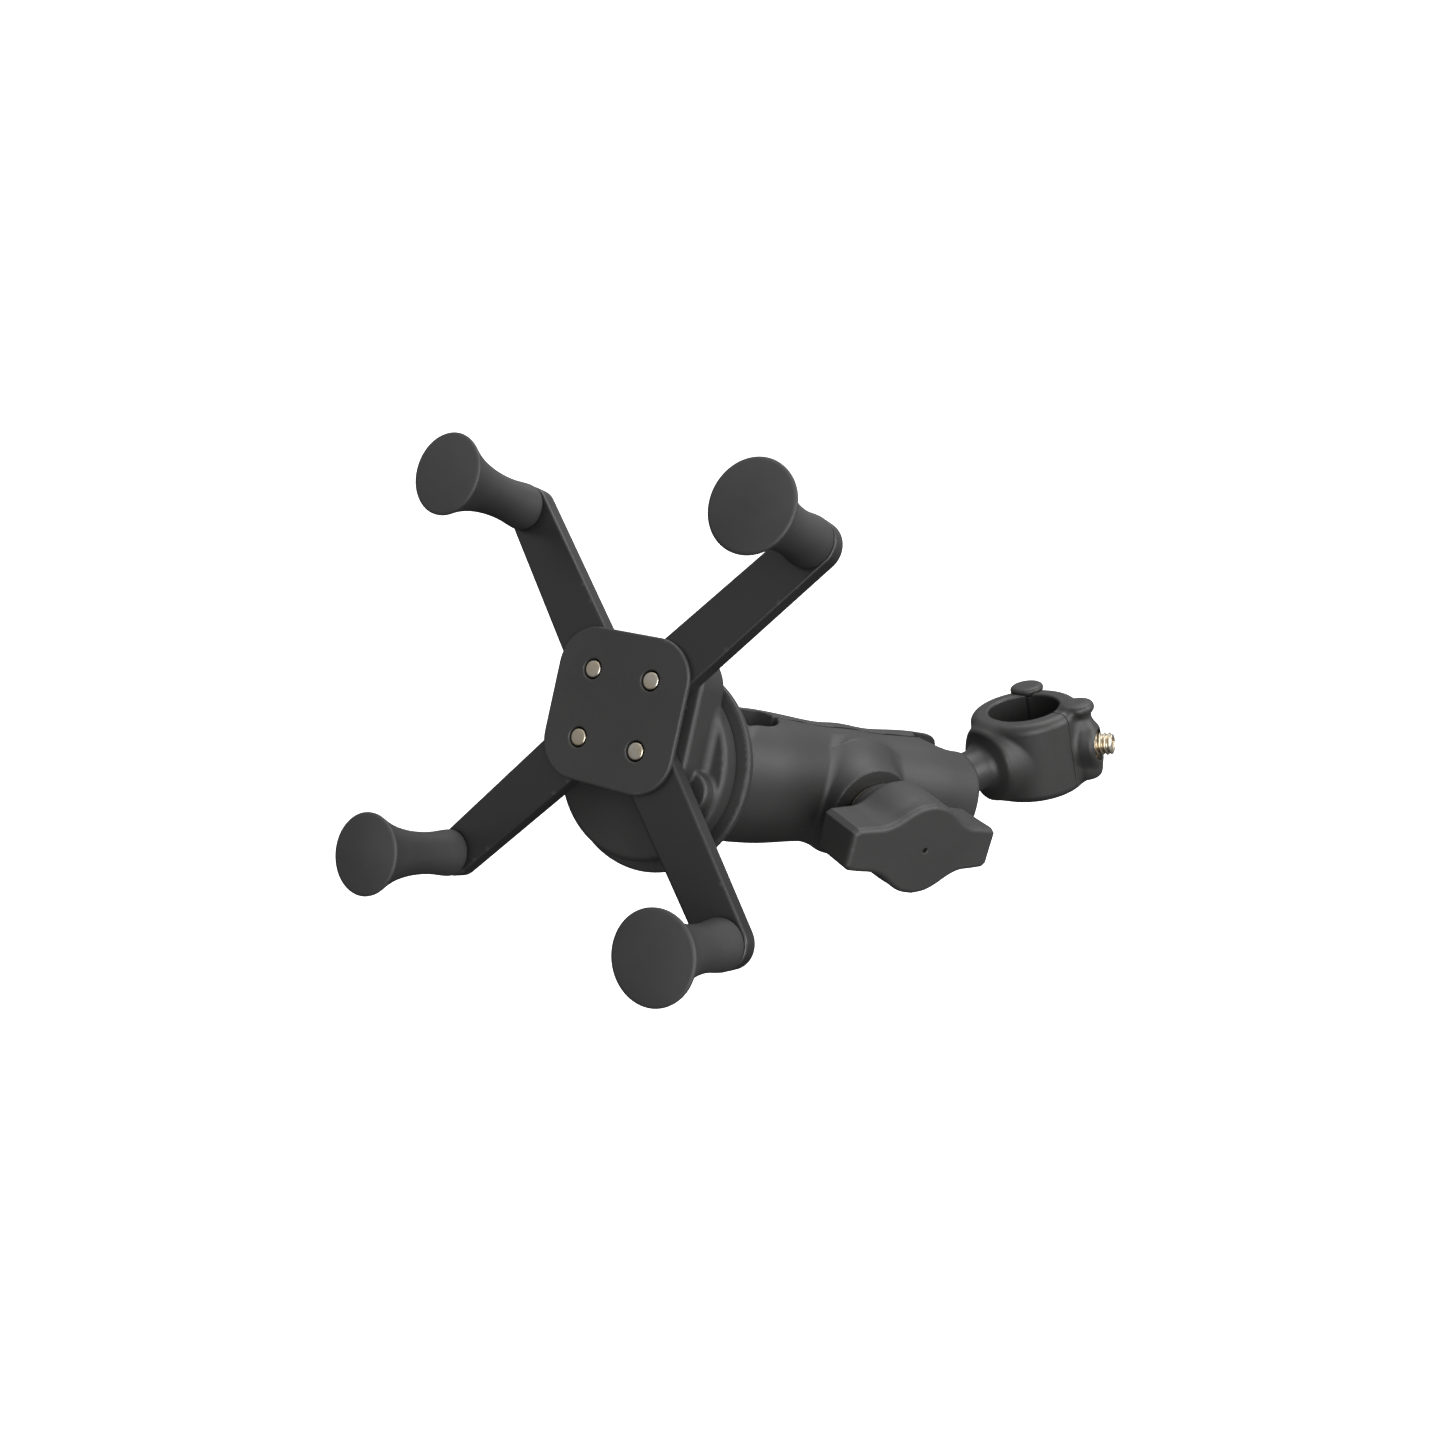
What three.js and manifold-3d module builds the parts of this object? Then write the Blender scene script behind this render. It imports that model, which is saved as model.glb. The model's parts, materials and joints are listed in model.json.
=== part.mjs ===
// Phone handlebar mount: hinged bar clamp, double socket arm with a wing knob, and a sprung four-arm cradle.
// Units are millimetres. The origin is the centre of the clamp bore and +Z runs along the bar.
import * as THREE from 'three';
import { mergeVertices } from 'three/addons/utils/BufferGeometryUtils.js';
import Module from 'manifold-3d';

const wasm = await Module();
wasm.setup();

// ---- driving dimensions ----
const GAP = 0.3; // running gap between neighbouring pieces
const BAR_RADIUS = 9.525; // 3/4 in handlebar
const BORE_RADIUS = BAR_RADIUS + 0.15;
const SLEEVE_RADIUS = 15.0;
const SLEEVE_HEIGHT = 23.4;
const NECK_AZIMUTH = 201.5; // degrees about +Z, from the bore to the bar ball
const NECK_REACH = 37.0; // bore centre to ball centre
const NECK_RADIUS = 5.9;
const HINGE_AZIMUTH = 66;
const HINGE_REACH = 14.3;
const KNUCKLE_RADIUS = 3.4;
const SCREW_AZIMUTH = -34;
const PARTING = -60; // where the gate meets the body on the screw side
const TONGUE_END = -18; // the body's tongue runs on under the gate to here
const SCREW_RADIUS = 3.175; // 1/4 in screws throughout
const SCREW_END = 23.0; // distance of the screw's outer end from the bore axis

const BALL_RADIUS = 12.7; // 1 in ball over its rubber jacket
const CORE_RADIUS = 10.5;
const SOCKET_RADIUS = BALL_RADIUS + GAP;

const ARM_LENGTH = 63.3; // ball centre to ball centre
const ARM_RIM = 4.6; // how far each socket reaches past its ball centre
const ARM_HALF_HEIGHT = 16.3;
const ARM_WAIST_HEIGHT = 15.3;
const ARM_DEPTH = 16.0;
const ARM_WAIST_DEPTH = 13.0;
const SEAM = 0.9; // half the gap between the two shells
const BOSS_FACE = 18.0;
const KNOB_FRONT = 38.6;
const KNOB_TURN = 4; // degrees

const PIVOT = 7.0; // arm pivots sit at (+-PIVOT, +-PIVOT) about the hub centre
const GEAR_TEETH = 12;
const POST_X = 33.7;
const POST_Y = 37.6;
const HUB_RISE = 9.9; // hub centre above the cradle ball's axis
const HUB_TOP = 47.3;
const ARM_BOTTOM = 47.6;
const ARM_TOP = 51.4;
const COVER_BOTTOM = 51.7;
const COVER_TOP = 52.9;
const CAP_FACE = 76.1;
const CAP_RADIUS = 8.15;
const BASE_TOP = 34.0;
const BASE_RADIUS = 23.0;

// Directions of the arm and the cradle as the mount is set up.
const ARM_AXIS = new THREE.Vector3(0.8, 0.376, -0.468); // cradle ball to bar ball
const BOLT_AXIS = new THREE.Vector3(0.351, -0.925, -0.144); // towards the knob
const CRADLE_FACING = new THREE.Vector3(-0.429, -0.762, 0.485);
const CRADLE_UP = new THREE.Vector3(0.45, 0.286, 0.846);

const rad = THREE.MathUtils.degToRad;

// ---- materials ----
const surface = (color, roughness, metalness) => () =>
  new THREE.MeshStandardMaterial({ color, roughness, metalness });
const nylon = surface(0x3a3a3b, 0.55, 0.0);
const rubber = surface(0x2f3031, 0.8, 0.0);
const steel = surface(0xb9bcc0, 0.35, 1.0);
const darkSteel = surface(0x55575a, 0.4, 1.0);
const brass = surface(0xb08d4a, 0.4, 1.0);

// ---- solid helpers ----
function toSolid(geometry) {
  const bare = geometry.clone();
  bare.deleteAttribute('normal');
  if (bare.attributes.uv) bare.deleteAttribute('uv');
  const merged = mergeVertices(bare, 1e-4);
  return new wasm.Manifold(
    new wasm.Mesh({
      numProp: 3,
      vertProperties: new Float32Array(merged.attributes.position.array),
      triVerts: new Uint32Array(merged.index.array),
    })
  );
}

function toGeometry(solid) {
  const mesh = solid.getMesh();
  const geometry = new THREE.BufferGeometry();
  geometry.setAttribute('position', new THREE.BufferAttribute(new Float32Array(mesh.vertProperties), 3));
  geometry.setIndex(new THREE.BufferAttribute(new Uint32Array(mesh.triVerts), 1));
  geometry.computeVertexNormals();
  return geometry;
}

const join = (...solids) => solids.reduce((a, b) => a.add(b));
const cut = (body, ...tools) => tools.reduce((a, b) => a.subtract(b), body);

// A shape of revolution about +Z from [radius, z] pairs that start and end on the axis or close on themselves.
function turned(profile, segments = 20) {
  const points = profile.map(([r, z]) => new THREE.Vector2(Math.max(r, 0), z));
  const geometry = new THREE.LatheGeometry(points, segments);
  geometry.rotateX(Math.PI / 2);
  return geometry;
}

const turnedSolid = (profile, segments) => toSolid(turned(profile, segments));

// Profiles run from low z to high z on the axis so that the faces point outwards.
const rodProfile = (radius, z0, z1, chamfer = 0) =>
  chamfer > 0
    ? [[0, z0], [radius - chamfer, z0], [radius, z0 + chamfer], [radius, z1 - chamfer], [radius - chamfer, z1], [0, z1]]
    : [[0, z0], [radius, z0], [radius, z1], [0, z1]];

const rod = (radius, z0, z1, segments = 16, chamfer = 0) =>
  turnedSolid(rodProfile(radius, z0, z1, chamfer), segments);

const tubeProfile = (inner, outer, z0, z1) =>
  [[inner, z0], [outer, z0], [outer, z1], [inner, z1], [inner, z0]];

const tube = (inner, outer, z0, z1, segments = 16) =>
  turnedSolid(tubeProfile(inner, outer, z0, z1), segments);

function sphere(radius, segments = 20, x = 0, y = 0, z = 0) {
  const profile = [];
  const steps = segments / 2;
  for (let i = 0; i <= steps; i++) {
    const a = -Math.PI / 2 + (Math.PI * i) / steps;
    profile.push([i === 0 || i === steps ? 0 : radius * Math.cos(a), radius * Math.sin(a)]);
  }
  return turnedSolid(profile, segments).translate([x, y, z]);
}

function box(x0, x1, y0, y1, z0, z1) {
  const geometry = new THREE.BoxGeometry(x1 - x0, y1 - y0, z1 - z0);
  geometry.translate((x0 + x1) / 2, (y0 + y1) / 2, (z0 + z1) / 2);
  return toSolid(geometry);
}

// A flat outline given as [x, y] pairs, extruded from z0 to z1.
function plate(outline, z0, z1) {
  const shape = new THREE.Shape(outline.map(([x, y]) => new THREE.Vector2(x, y)));
  const geometry = new THREE.ExtrudeGeometry(shape, { depth: z1 - z0, bevelEnabled: false });
  geometry.translate(0, 0, z0);
  return toSolid(geometry);
}

// Closes a stack of equal rings of points into a solid: rings run along the body, points run round it.
function loft(rings) {
  const count = rings[0].length;
  const positions = [];
  const index = [];
  rings.forEach((ring) => ring.forEach((p) => positions.push(...p)));
  for (let i = 0; i < rings.length - 1; i++) {
    for (let j = 0; j < count; j++) {
      const a = i * count + j;
      const b = i * count + ((j + 1) % count);
      index.push(a, b, b + count);
      index.push(a, b + count, a + count);
    }
  }
  const last = (rings.length - 1) * count;
  const hub = rings.length * count;
  [rings[0], rings[rings.length - 1]].forEach((ring) => {
    const mean = [0, 1, 2].map((k) => ring.reduce((sum, p) => sum + p[k], 0) / count);
    positions.push(...mean);
  });
  for (let j = 0; j < count; j++) {
    const next = (j + 1) % count;
    index.push(hub, next, j);
    index.push(hub + 1, last + j, last + next);
  }
  const geometry = new THREE.BufferGeometry();
  geometry.setAttribute('position', new THREE.Float32BufferAttribute(positions, 3));
  geometry.setIndex(index);
  return toSolid(geometry);
}

// Turns a solid built along +Z so that +Z points along the given azimuth in the XY plane.
const layDown = (solid, azimuth) => solid.rotate([0, 90, 0]).rotate([0, 0, azimuth]);

// The outline of two circles joined by their outer tangents.
function capsule(x0, y0, r0, x1, y1, r1, steps = 8) {
  const angle = Math.atan2(y1 - y0, x1 - x0);
  const spread = Math.acos((r0 - r1) / Math.hypot(x1 - x0, y1 - y0));
  const points = [];
  for (let i = 0; i <= steps; i++) {
    const a = angle - spread + (2 * spread * i) / steps;
    points.push([x1 + r1 * Math.cos(a), y1 + r1 * Math.sin(a)]);
  }
  for (let i = 0; i <= steps; i++) {
    const a = angle + spread + ((2 * Math.PI - 2 * spread) * i) / steps;
    points.push([x0 + r0 * Math.cos(a), y0 + r0 * Math.sin(a)]);
  }
  return points;
}

function roundedSquare(half, corner, cx = 0, cy = 0, steps = 5) {
  const points = [];
  for (let q = 0; q < 4; q++) {
    const sx = q === 0 || q === 3 ? 1 : -1;
    const sy = q < 2 ? 1 : -1;
    for (let i = 0; i <= steps; i++) {
      const a = (Math.PI / 2) * (q + i / steps);
      points.push([
        cx + sx * (half - corner) + corner * Math.cos(a),
        cy + sy * (half - corner) + corner * Math.sin(a),
      ]);
    }
  }
  return points;
}

// A round wire wound about +Z.
class Helix extends THREE.Curve {
  constructor(radius, z0, z1, turns) {
    super();
    Object.assign(this, { radius, z0, z1, turns });
  }

  getPoint(t, target = new THREE.Vector3()) {
    const a = 2 * Math.PI * this.turns * t;
    return target.set(
      this.radius * Math.cos(a),
      this.radius * Math.sin(a),
      this.z0 + (this.z1 - this.z0) * t
    );
  }
}

function coil(radius, wire, z0, z1, turns) {
  const section = new THREE.Shape();
  for (let i = 0; i < 5; i++) {
    const x = wire * Math.cos((2 * Math.PI * i) / 5);
    const y = wire * Math.sin((2 * Math.PI * i) / 5);
    if (i === 0) section.moveTo(x, y);
    else section.lineTo(x, y);
  }
  const geometry = new THREE.ExtrudeGeometry(section, {
    steps: Math.round(10 * turns),
    bevelEnabled: false,
    extrudePath: new Helix(radius, z0, z1, turns),
  });
  return toSolid(geometry);
}

// ---- scene helpers ----
const mount = new THREE.Group();

function addNode(parent, name, shape, material) {
  const geometry = shape instanceof THREE.BufferGeometry ? shape : toGeometry(shape);
  const mesh = new THREE.Mesh(geometry, material());
  mesh.name = name;
  parent.add(mesh);
  return mesh;
}

// A group whose axes are the given directions, with zAxis kept exact.
function framedGroup(origin, zAxis, hint, hintIsX) {
  const z = zAxis.clone().normalize();
  const other = hint.clone().addScaledVector(z, -hint.dot(z)).normalize();
  const x = hintIsX ? other : new THREE.Vector3().crossVectors(other, z);
  const y = new THREE.Vector3().crossVectors(z, x);
  const group = new THREE.Group();
  group.quaternion.setFromRotationMatrix(new THREE.Matrix4().makeBasis(x, y, z));
  group.position.copy(origin);
  mount.add(group);
  return { group, x, y, z };
}

// ---- bar clamp ----
const polar = (radius, azimuth) => [radius * Math.cos(rad(azimuth)), radius * Math.sin(rad(azimuth))];
const [hingeX, hingeY] = polar(HINGE_REACH, HINGE_AZIMUTH);
const [screwX, screwY] = polar(14.6, SCREW_AZIMUTH);

// A pie slice between two azimuths, used to part the sleeve.
function wedge(from, to, z0, z1, reach = 60) {
  const outline = [[0, 0]];
  const steps = 12;
  for (let i = 0; i <= steps; i++) {
    outline.push(polar(reach, from + ((to - from) * i) / steps));
  }
  return plate(outline, z0, z1);
}

function sleeve() {
  const top = SLEEVE_HEIGHT / 2;
  const profile = [
    [BORE_RADIUS, -top + 0.6],
    [BORE_RADIUS + 0.6, -top],
    [SLEEVE_RADIUS - 2.0, -top],
    [SLEEVE_RADIUS - 0.5, -top + 0.6],
    [SLEEVE_RADIUS, -top + 2.0],
    [SLEEVE_RADIUS, top - 2.0],
    [SLEEVE_RADIUS - 0.5, top - 0.6],
    [SLEEVE_RADIUS - 2.0, top],
    [BORE_RADIUS + 0.6, top],
    [BORE_RADIUS, top - 0.6],
    [BORE_RADIUS, -top + 0.6],
  ];
  return turnedSolid(profile, 32);
}

// Neck and ball core along +Z, from the bore axis to the ball centre.
function ballNeck() {
  const profile = [
    [0, 11.5],
    [11.2, 11.5],
    [10.6, 13.6],
    [8.6, 15.6],
    [6.9, 17.2],
    [NECK_RADIUS, 19.5],
    [NECK_RADIUS, 27.9],
  ];
  const start = Math.acos(-NECK_RADIUS / CORE_RADIUS) - Math.PI / 2;
  for (let i = 0; i <= 6; i++) {
    const a = -Math.PI / 2 + start + ((Math.PI - start) * i) / 6;
    const r = i === 6 ? 0 : CORE_RADIUS * Math.cos(a);
    profile.push([r, NECK_REACH + CORE_RADIUS * Math.sin(a)]);
  }
  profile.splice(6, 1);
  return turnedSolid(profile, 18);
}

const boreCore = () => rod(BORE_RADIUS, -30, 30, 32);
const half = SLEEVE_HEIGHT / 2;

const clampBody = (() => {
  const ring = cut(sleeve(), wedge(PARTING, HINGE_AZIMUTH + 0.8, -30, 30));
  const knuckle = cut(
    rod(KNUCKLE_RADIUS, -half + 0.7, half - 0.7, 20, 0.4).translate([hingeX, hingeY, 0]),
    rod(KNUCKLE_RADIUS + 1, -4.2, 4.2, 20).translate([hingeX, hingeY, 0])
  );
  const tongue = cut(tube(BORE_RADIUS, 11.3, -7.5, 7.5, 32), wedge(TONGUE_END, 290, -30, 30));
  const solid = join(ring, knuckle, tongue, layDown(ballNeck(), NECK_AZIMUTH));
  return cut(
    solid,
    boreCore(),
    rod(KNUCKLE_RADIUS + 0.4, -4.2, 4.2, 20).translate([hingeX, hingeY, 0]),
    rod(1.8, -30, 30, 12).translate([hingeX, hingeY, 0]),
    layDown(rod(3.6, 5, 13.5, 20), SCREW_AZIMUTH)
  );
})();

const clampGate = (() => {
  const ring = sleeve().intersect(wedge(PARTING + 1.3, HINGE_AZIMUTH - 0.8, -30, 30));
  const knuckle = rod(KNUCKLE_RADIUS, -3.9, 3.9, 20).translate([hingeX, hingeY, 0]);
  const web = plate(capsule(hingeX, hingeY, 3.4, ...polar(12.6, 48), 2.3), -3.9, 3.9);
  const post = turnedSolid(
    [[0, -9.2], [3.4, -9.2], [4.4, -8.2], [4.4, 5.2], [3.1, 8.0], [3.1, 9.4], [3.9, 10.4], [3.9, 12.0], [3.4, 12.5],
      [0, 12.5]],
    20
  ).translate([screwX, screwY, 0]);
  const collar = layDown(rod(5.6, 12, 19.2, 24, 0.6), SCREW_AZIMUTH);
  const solid = join(ring, knuckle, web, post, collar);
  return cut(
    solid,
    boreCore(),
    cut(tube(BORE_RADIUS - 1, 11.6, -7.8, 7.8, 32), wedge(TONGUE_END + 2, 285, -30, 30)),
    rod(KNUCKLE_RADIUS + 0.4, 3.9, 30, 20).translate([hingeX, hingeY, 0]),
    rod(KNUCKLE_RADIUS + 0.4, -30, -3.9, 20).translate([hingeX, hingeY, 0]),
    rod(1.8, -30, 30, 12).translate([hingeX, hingeY, 0]),
    layDown(rod(3.5, 8, 24, 20), SCREW_AZIMUTH),
    layDown(rod(4.6, 14.2, 24, 20), SCREW_AZIMUTH)
  );
})();

const threadProfile = (radius, z0, z1, pitch, depth) => {
  const profile = [[0, z0], [radius - depth, z0]];
  const turns = Math.floor((z1 - z0) / pitch);
  for (let i = 0; i < turns; i++) {
    profile.push([radius, z0 + pitch * (i + 0.45)]);
    profile.push([radius - depth, z0 + pitch * (i + 0.95)]);
  }
  profile.push([radius - depth, z1], [0, z1]);
  return profile;
};

const ballJacket = (opening) => {
  const shell = cut(sphere(BALL_RADIUS, 20), sphere(CORE_RADIUS + 0.7, 16));
  return cut(shell, rod(opening, 0, 20, 16));
};

addNode(mount, 'clamp_body', clampBody, nylon);
addNode(mount, 'clamp_gate', clampGate, nylon);
addNode(
  mount,
  'gate_hinge_pin',
  join(rod(1.5, -half + 0.2, half + 1, 16), rod(4.7, half + GAP, half + 2.3, 20, 0.7)).translate([hingeX, hingeY, 0]),
  nylon
);
addNode(mount, 'gate_insert', layDown(tube(3.5, 4.3, 14.5, 19.5, 20), SCREW_AZIMUTH), brass);
addNode(
  mount,
  'clamp_screw',
  layDown(
    cut(turnedSolid(threadProfile(SCREW_RADIUS, 13.6, SCREW_END, 1.27, 0.45), 12), rod(1.8, 20, 24, 6)),
    SCREW_AZIMUTH
  ),
  steel
);
addNode(mount, 'screw_pad', layDown(rod(3.1, 11.9, 13.3, 20, 0.2), SCREW_AZIMUTH), rubber);

const [ballX, ballY] = polar(NECK_REACH, NECK_AZIMUTH);
const barBall = new THREE.Vector3(ballX, ballY, 0);
addNode(
  mount,
  'bar_ball_jacket',
  layDown(ballJacket(NECK_RADIUS + 0.4), NECK_AZIMUTH + 180).translate([ballX, ballY, 0]),
  rubber
);

// ---- double socket arm ----
// Arm frame: origin at the bar ball, +X from the cradle ball to the bar ball, +Z towards the knob, +Y up.
const arm = framedGroup(barBall, BOLT_AXIS, ARM_AXIS, true);
const MIDDLE = -ARM_LENGTH / 2;

function smooth(t) {
  const u = Math.min(Math.max(t, 0), 1);
  return u * u * (3 - 2 * u);
}

// Half of the dog-bone body: a round-backed trough between the two sockets.
function shellBlank() {
  const rings = [];
  const ends = [
    [0, 0.9],
    [1.4, 0],
  ];
  const stations = [];
  ends.forEach(([inset, drop]) => stations.push([-ARM_LENGTH - ARM_RIM + inset, drop]));
  const inner = [0.12, 0.2, 0.3, 0.4, 0.5, 0.6, 0.7, 0.8, 0.88];
  inner.forEach((t) => stations.push([-ARM_LENGTH - ARM_RIM + t * (ARM_LENGTH + 2 * ARM_RIM), 0]));
  ends.reverse().forEach(([inset, drop]) => stations.push([ARM_RIM - inset, drop]));
  stations.forEach(([x, drop]) => {
    const away = Math.abs(x - MIDDLE) / (ARM_LENGTH / 2);
    const blend = smooth((away - 0.1) / 0.75);
    const height = ARM_WAIST_HEIGHT + (ARM_HALF_HEIGHT - ARM_WAIST_HEIGHT) * blend - drop;
    const depth = ARM_WAIST_DEPTH + (ARM_DEPTH - ARM_WAIST_DEPTH) * blend - drop;
    const ring = [];
    const steps = 12;
    for (let i = 0; i <= steps; i++) {
      const a = (Math.PI * i) / steps;
      const c = Math.cos(a);
      const s = Math.sin(a);
      const y = height * Math.sign(c) * Math.abs(c) ** 0.9;
      ring.push([x, y, SEAM + (depth - SEAM) * Math.abs(s) ** 0.9]);
    }
    rings.push(ring);
  });
  return loft(rings);
}

// The slot that lets a neck swing up out of its socket.
function neckSlot(x, outward) {
  const width = 6.6;
  const channel = box(
    Math.min(x, x + outward * 30),
    Math.max(x, x + outward * 30),
    0,
    30,
    -width,
    width
  );
  const inner = rod(width, 0, 30, 20).rotate([-90, 0, 0]).translate([x - outward * 2.2, 0, 0]);
  const bridge = box(Math.min(x, x - outward * 2.2), Math.max(x, x - outward * 2.2), 0, 30, -width, width);
  return join(channel, bridge, inner);
}

function shell(front) {
  let blank = shellBlank();
  if (front) {
    const boss = turnedSolid([[0, 8], [14.5, 8], [12.0, 13.5], [11.2, BOSS_FACE - 0.5], [10.7, BOSS_FACE], [0, BOSS_FACE]], 20);
    blank = blank.add(boss.translate([MIDDLE, 0, 0]));
  } else {
    const boss = turnedSolid([[0, 8], [12.0, 8], [10.5, 14.6], [9.8, 15.3], [0, 15.3]], 20);
    blank = blank.add(boss.translate([MIDDLE, 0, 0]));
  }
  const tools = [
    sphere(SOCKET_RADIUS, 20),
    sphere(SOCKET_RADIUS, 20, -ARM_LENGTH),
    rod(7.0, 0, 8, 20).translate([MIDDLE, 0, 0]),
    rod(3.6, 0, 30, 20).translate([MIDDLE, 0, 0]),
    neckSlot(0, 1),
    neckSlot(-ARM_LENGTH, -1),
  ];
  if (!front) tools.push(rod(6.8, 11.2, 30, 6).translate([MIDDLE, 0, 0]));
  const solid = cut(blank, ...tools);
  return front ? solid : solid.mirror([0, 0, 1]);
}

addNode(arm.group, 'arm_rear_shell', shell(false), nylon);
addNode(arm.group, 'arm_front_shell', shell(true), nylon);
addNode(
  arm.group,
  'arm_bolt',
  join(
    turnedSolid([[0, -14.9], [5.6, -14.9], [6.4, -14.2], [6.4, -11.5], [0, -11.5]], 6),
    rod(SCREW_RADIUS, -12, 20, 12),
    turnedSolid(threadProfile(SCREW_RADIUS, 19.9, 33.2, 2.54, 0.35), 12)
  ).translate([MIDDLE, 0, 0]),
  steel
);
addNode(arm.group, 'arm_spring', coil(5.2, 0.6, -7.0, 7.0, 4).translate([MIDDLE, 0, 0]), steel);
addNode(arm.group, 'thrust_washer', tube(3.5, 8.4, BOSS_FACE + GAP, BOSS_FACE + 1.3, 24).translate([MIDDLE, 0, 0]), steel);

// Knob frame: +X along the wings, turned a little from the arm.
const WING_PLAN = [
  [0, 10.6],
  [3.5, 10.0],
  [6.5, 8.2],
  [9.5, 6.4],
  [12.5, 5.9],
  [16.0, 6.1],
  [19.2, 5.6],
  [20.6, 4.4],
];

function knobPlan(shrink) {
  const quarter = WING_PLAN.map(([x, y]) => [x * (1 - shrink / 21), y - shrink]);
  const right = [...quarter].reverse();
  const points = [];
  right.forEach(([x, y]) => points.push([x, y]));
  quarter.slice(1).forEach(([x, y]) => points.push([-x, y]));
  [...right].forEach(([x, y]) => points.push([-x, -y]));
  quarter.slice(1).forEach(([x, y]) => points.push([x, -y]));
  return points;
}

const knob = (() => {
  const ring = (shrink, z) => knobPlan(shrink).map(([x, y]) => [x, y, z]);
  const wings = loft([
    ring(1.6, 27.6),
    ring(0.4, 29.0),
    ring(0, 31.0),
    ring(0, KNOB_FRONT - 1.2),
    ring(0.5, KNOB_FRONT - 0.3),
    ring(1.3, KNOB_FRONT),
  ]);
  const hub = turnedSolid(
    [[0, 19.6], [9.6, 19.6], [10.2, 20.3], [10.0, 25.0], [10.4, 31.0], [9.6, 35.0], [0, 35.0]],
    20
  );
  return cut(join(wings, hub), rod(5.6, 10, 34.4, 16)).rotate([0, 0, KNOB_TURN]);
})();

addNode(arm.group, 'wing_knob', knob.translate([MIDDLE, 0, 0]), nylon);
addNode(arm.group, 'knob_insert', tube(3.5, 5.3, 19.9, 34.0, 20).translate([MIDDLE, 0, 0]), brass);

// ---- cradle ----
// Cradle frame: origin at the cradle ball, +Z facing the device, +Y up the device.
const cradleBall = barBall.clone().addScaledVector(arm.x, -ARM_LENGTH);
const cradle = framedGroup(cradleBall, CRADLE_FACING, CRADLE_UP, false);

const SCREW_SPOTS = [[-15, -3], [15, -3]];
const PIVOTS = [
  { tag: 'ur', sx: 1, sy: 1 },
  { tag: 'ul', sx: -1, sy: 1 },
  { tag: 'll', sx: -1, sy: -1 },
  { tag: 'lr', sx: 1, sy: -1 },
];

const ballBase = (() => {
  const profile = [];
  for (let i = 0; i <= 6; i++) {
    const a = -Math.PI / 2 + ((Math.PI - Math.asin(NECK_RADIUS / CORE_RADIUS)) * i) / 6;
    profile.push([i === 0 ? 0 : CORE_RADIUS * Math.cos(a), CORE_RADIUS * Math.sin(a)]);
  }
  profile.push(
    [NECK_RADIUS, 17.5],
    [6.6, 20.5],
    [9.0, 23.0],
    [13.5, 24.4],
    [18.0, 26.4],
    [21.4, 29.2],
    [BASE_RADIUS, 32.4],
    [BASE_RADIUS - 0.4, BASE_TOP],
    [0, BASE_TOP]
  );
  const holes = SCREW_SPOTS.flatMap(([x, y]) => [
    rod(1.9, 20, 40, 12).translate([x, y, 0]),
    rod(3.5, 20, 29.2, 16).translate([x, y, 0]),
  ]);
  return cut(turnedSolid(profile, 24), ...holes);
})();

addNode(cradle.group, 'cradle_ball_jacket', ballJacket(NECK_RADIUS + 0.4), rubber);
addNode(cradle.group, 'ball_base', ballBase, nylon);
SCREW_SPOTS.forEach(([x, y], i) => {
  const solid = join(rod(3.1, 26.9, 28.9, 16, 0.3), rod(1.6, 28.5, 41.2, 12));
  const driven = cut(solid, rod(1.5, 26, 28, 6)).translate([x, y, 0]);
  addNode(cradle.group, `base_screw_${i + 1}`, driven, steel);
});

const pivotAt = ({ sx, sy }) => [sx * PIVOT, HUB_RISE + sy * PIVOT];

const hubBack = (() => {
  const foot = rod(20.5, BASE_TOP + GAP, 39.6, 24, 0.5);
  const deck = plate(roundedSquare(15.6, 8.5, 0, HUB_RISE), 38, HUB_TOP);
  const stem = rod(1.65, HUB_TOP - 1, COVER_BOTTOM - GAP, 12).translate([0, HUB_RISE, 0]);
  const holes = PIVOTS.map((p) => rod(2.1, 40.6, 60, 12).translate([...pivotAt(p), 0]));
  const pockets = PIVOTS.map((p) => rod(5.2, 42.6, 60, 16).translate([...pivotAt(p), 0]));
  const screws = SCREW_SPOTS.map(([x, y]) => rod(1.9, 30, 41.6, 12).translate([x, y, 0]));
  const lugs = SCREW_SPOTS.map(([x, y]) => rod(4.2, 38, 43.2, 16, 0.4).translate([x, y, 0]));
  return cut(join(foot, deck, stem, ...lugs), ...holes, ...pockets, ...screws);
})();

const hubCover = cut(
  plate(roundedSquare(15.6, 8.5, 0, HUB_RISE), COVER_BOTTOM, COVER_TOP),
  ...PIVOTS.map((p) => rod(2.1, 50, 60, 12).translate([...pivotAt(p), 0]))
);

// A gear sector concentric with the pivot, toothed everywhere except near the arm.
function gearPlan(phase, armAngle) {
  const root = 5.85;
  const tip = 7.8;
  const points = [];
  for (let i = 0; i < GEAR_TEETH; i++) {
    const centre = phase + (360 / GEAR_TEETH) * i;
    const away = Math.abs(((centre - armAngle + 540) % 360) - 180);
    if (away > 72) {
      points.push(
        [root, centre - 8.4],
        [PIVOT, centre - 5.4],
        [tip, centre - 2.8],
        [tip, centre + 2.8],
        [PIVOT, centre + 5.4],
        [root, centre + 8.4]
      );
    } else {
      points.push([root, centre - 8.4], [root, centre + 8.4]);
    }
  }
  return points.map(([r, a]) => polar(r, a));
}

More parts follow.
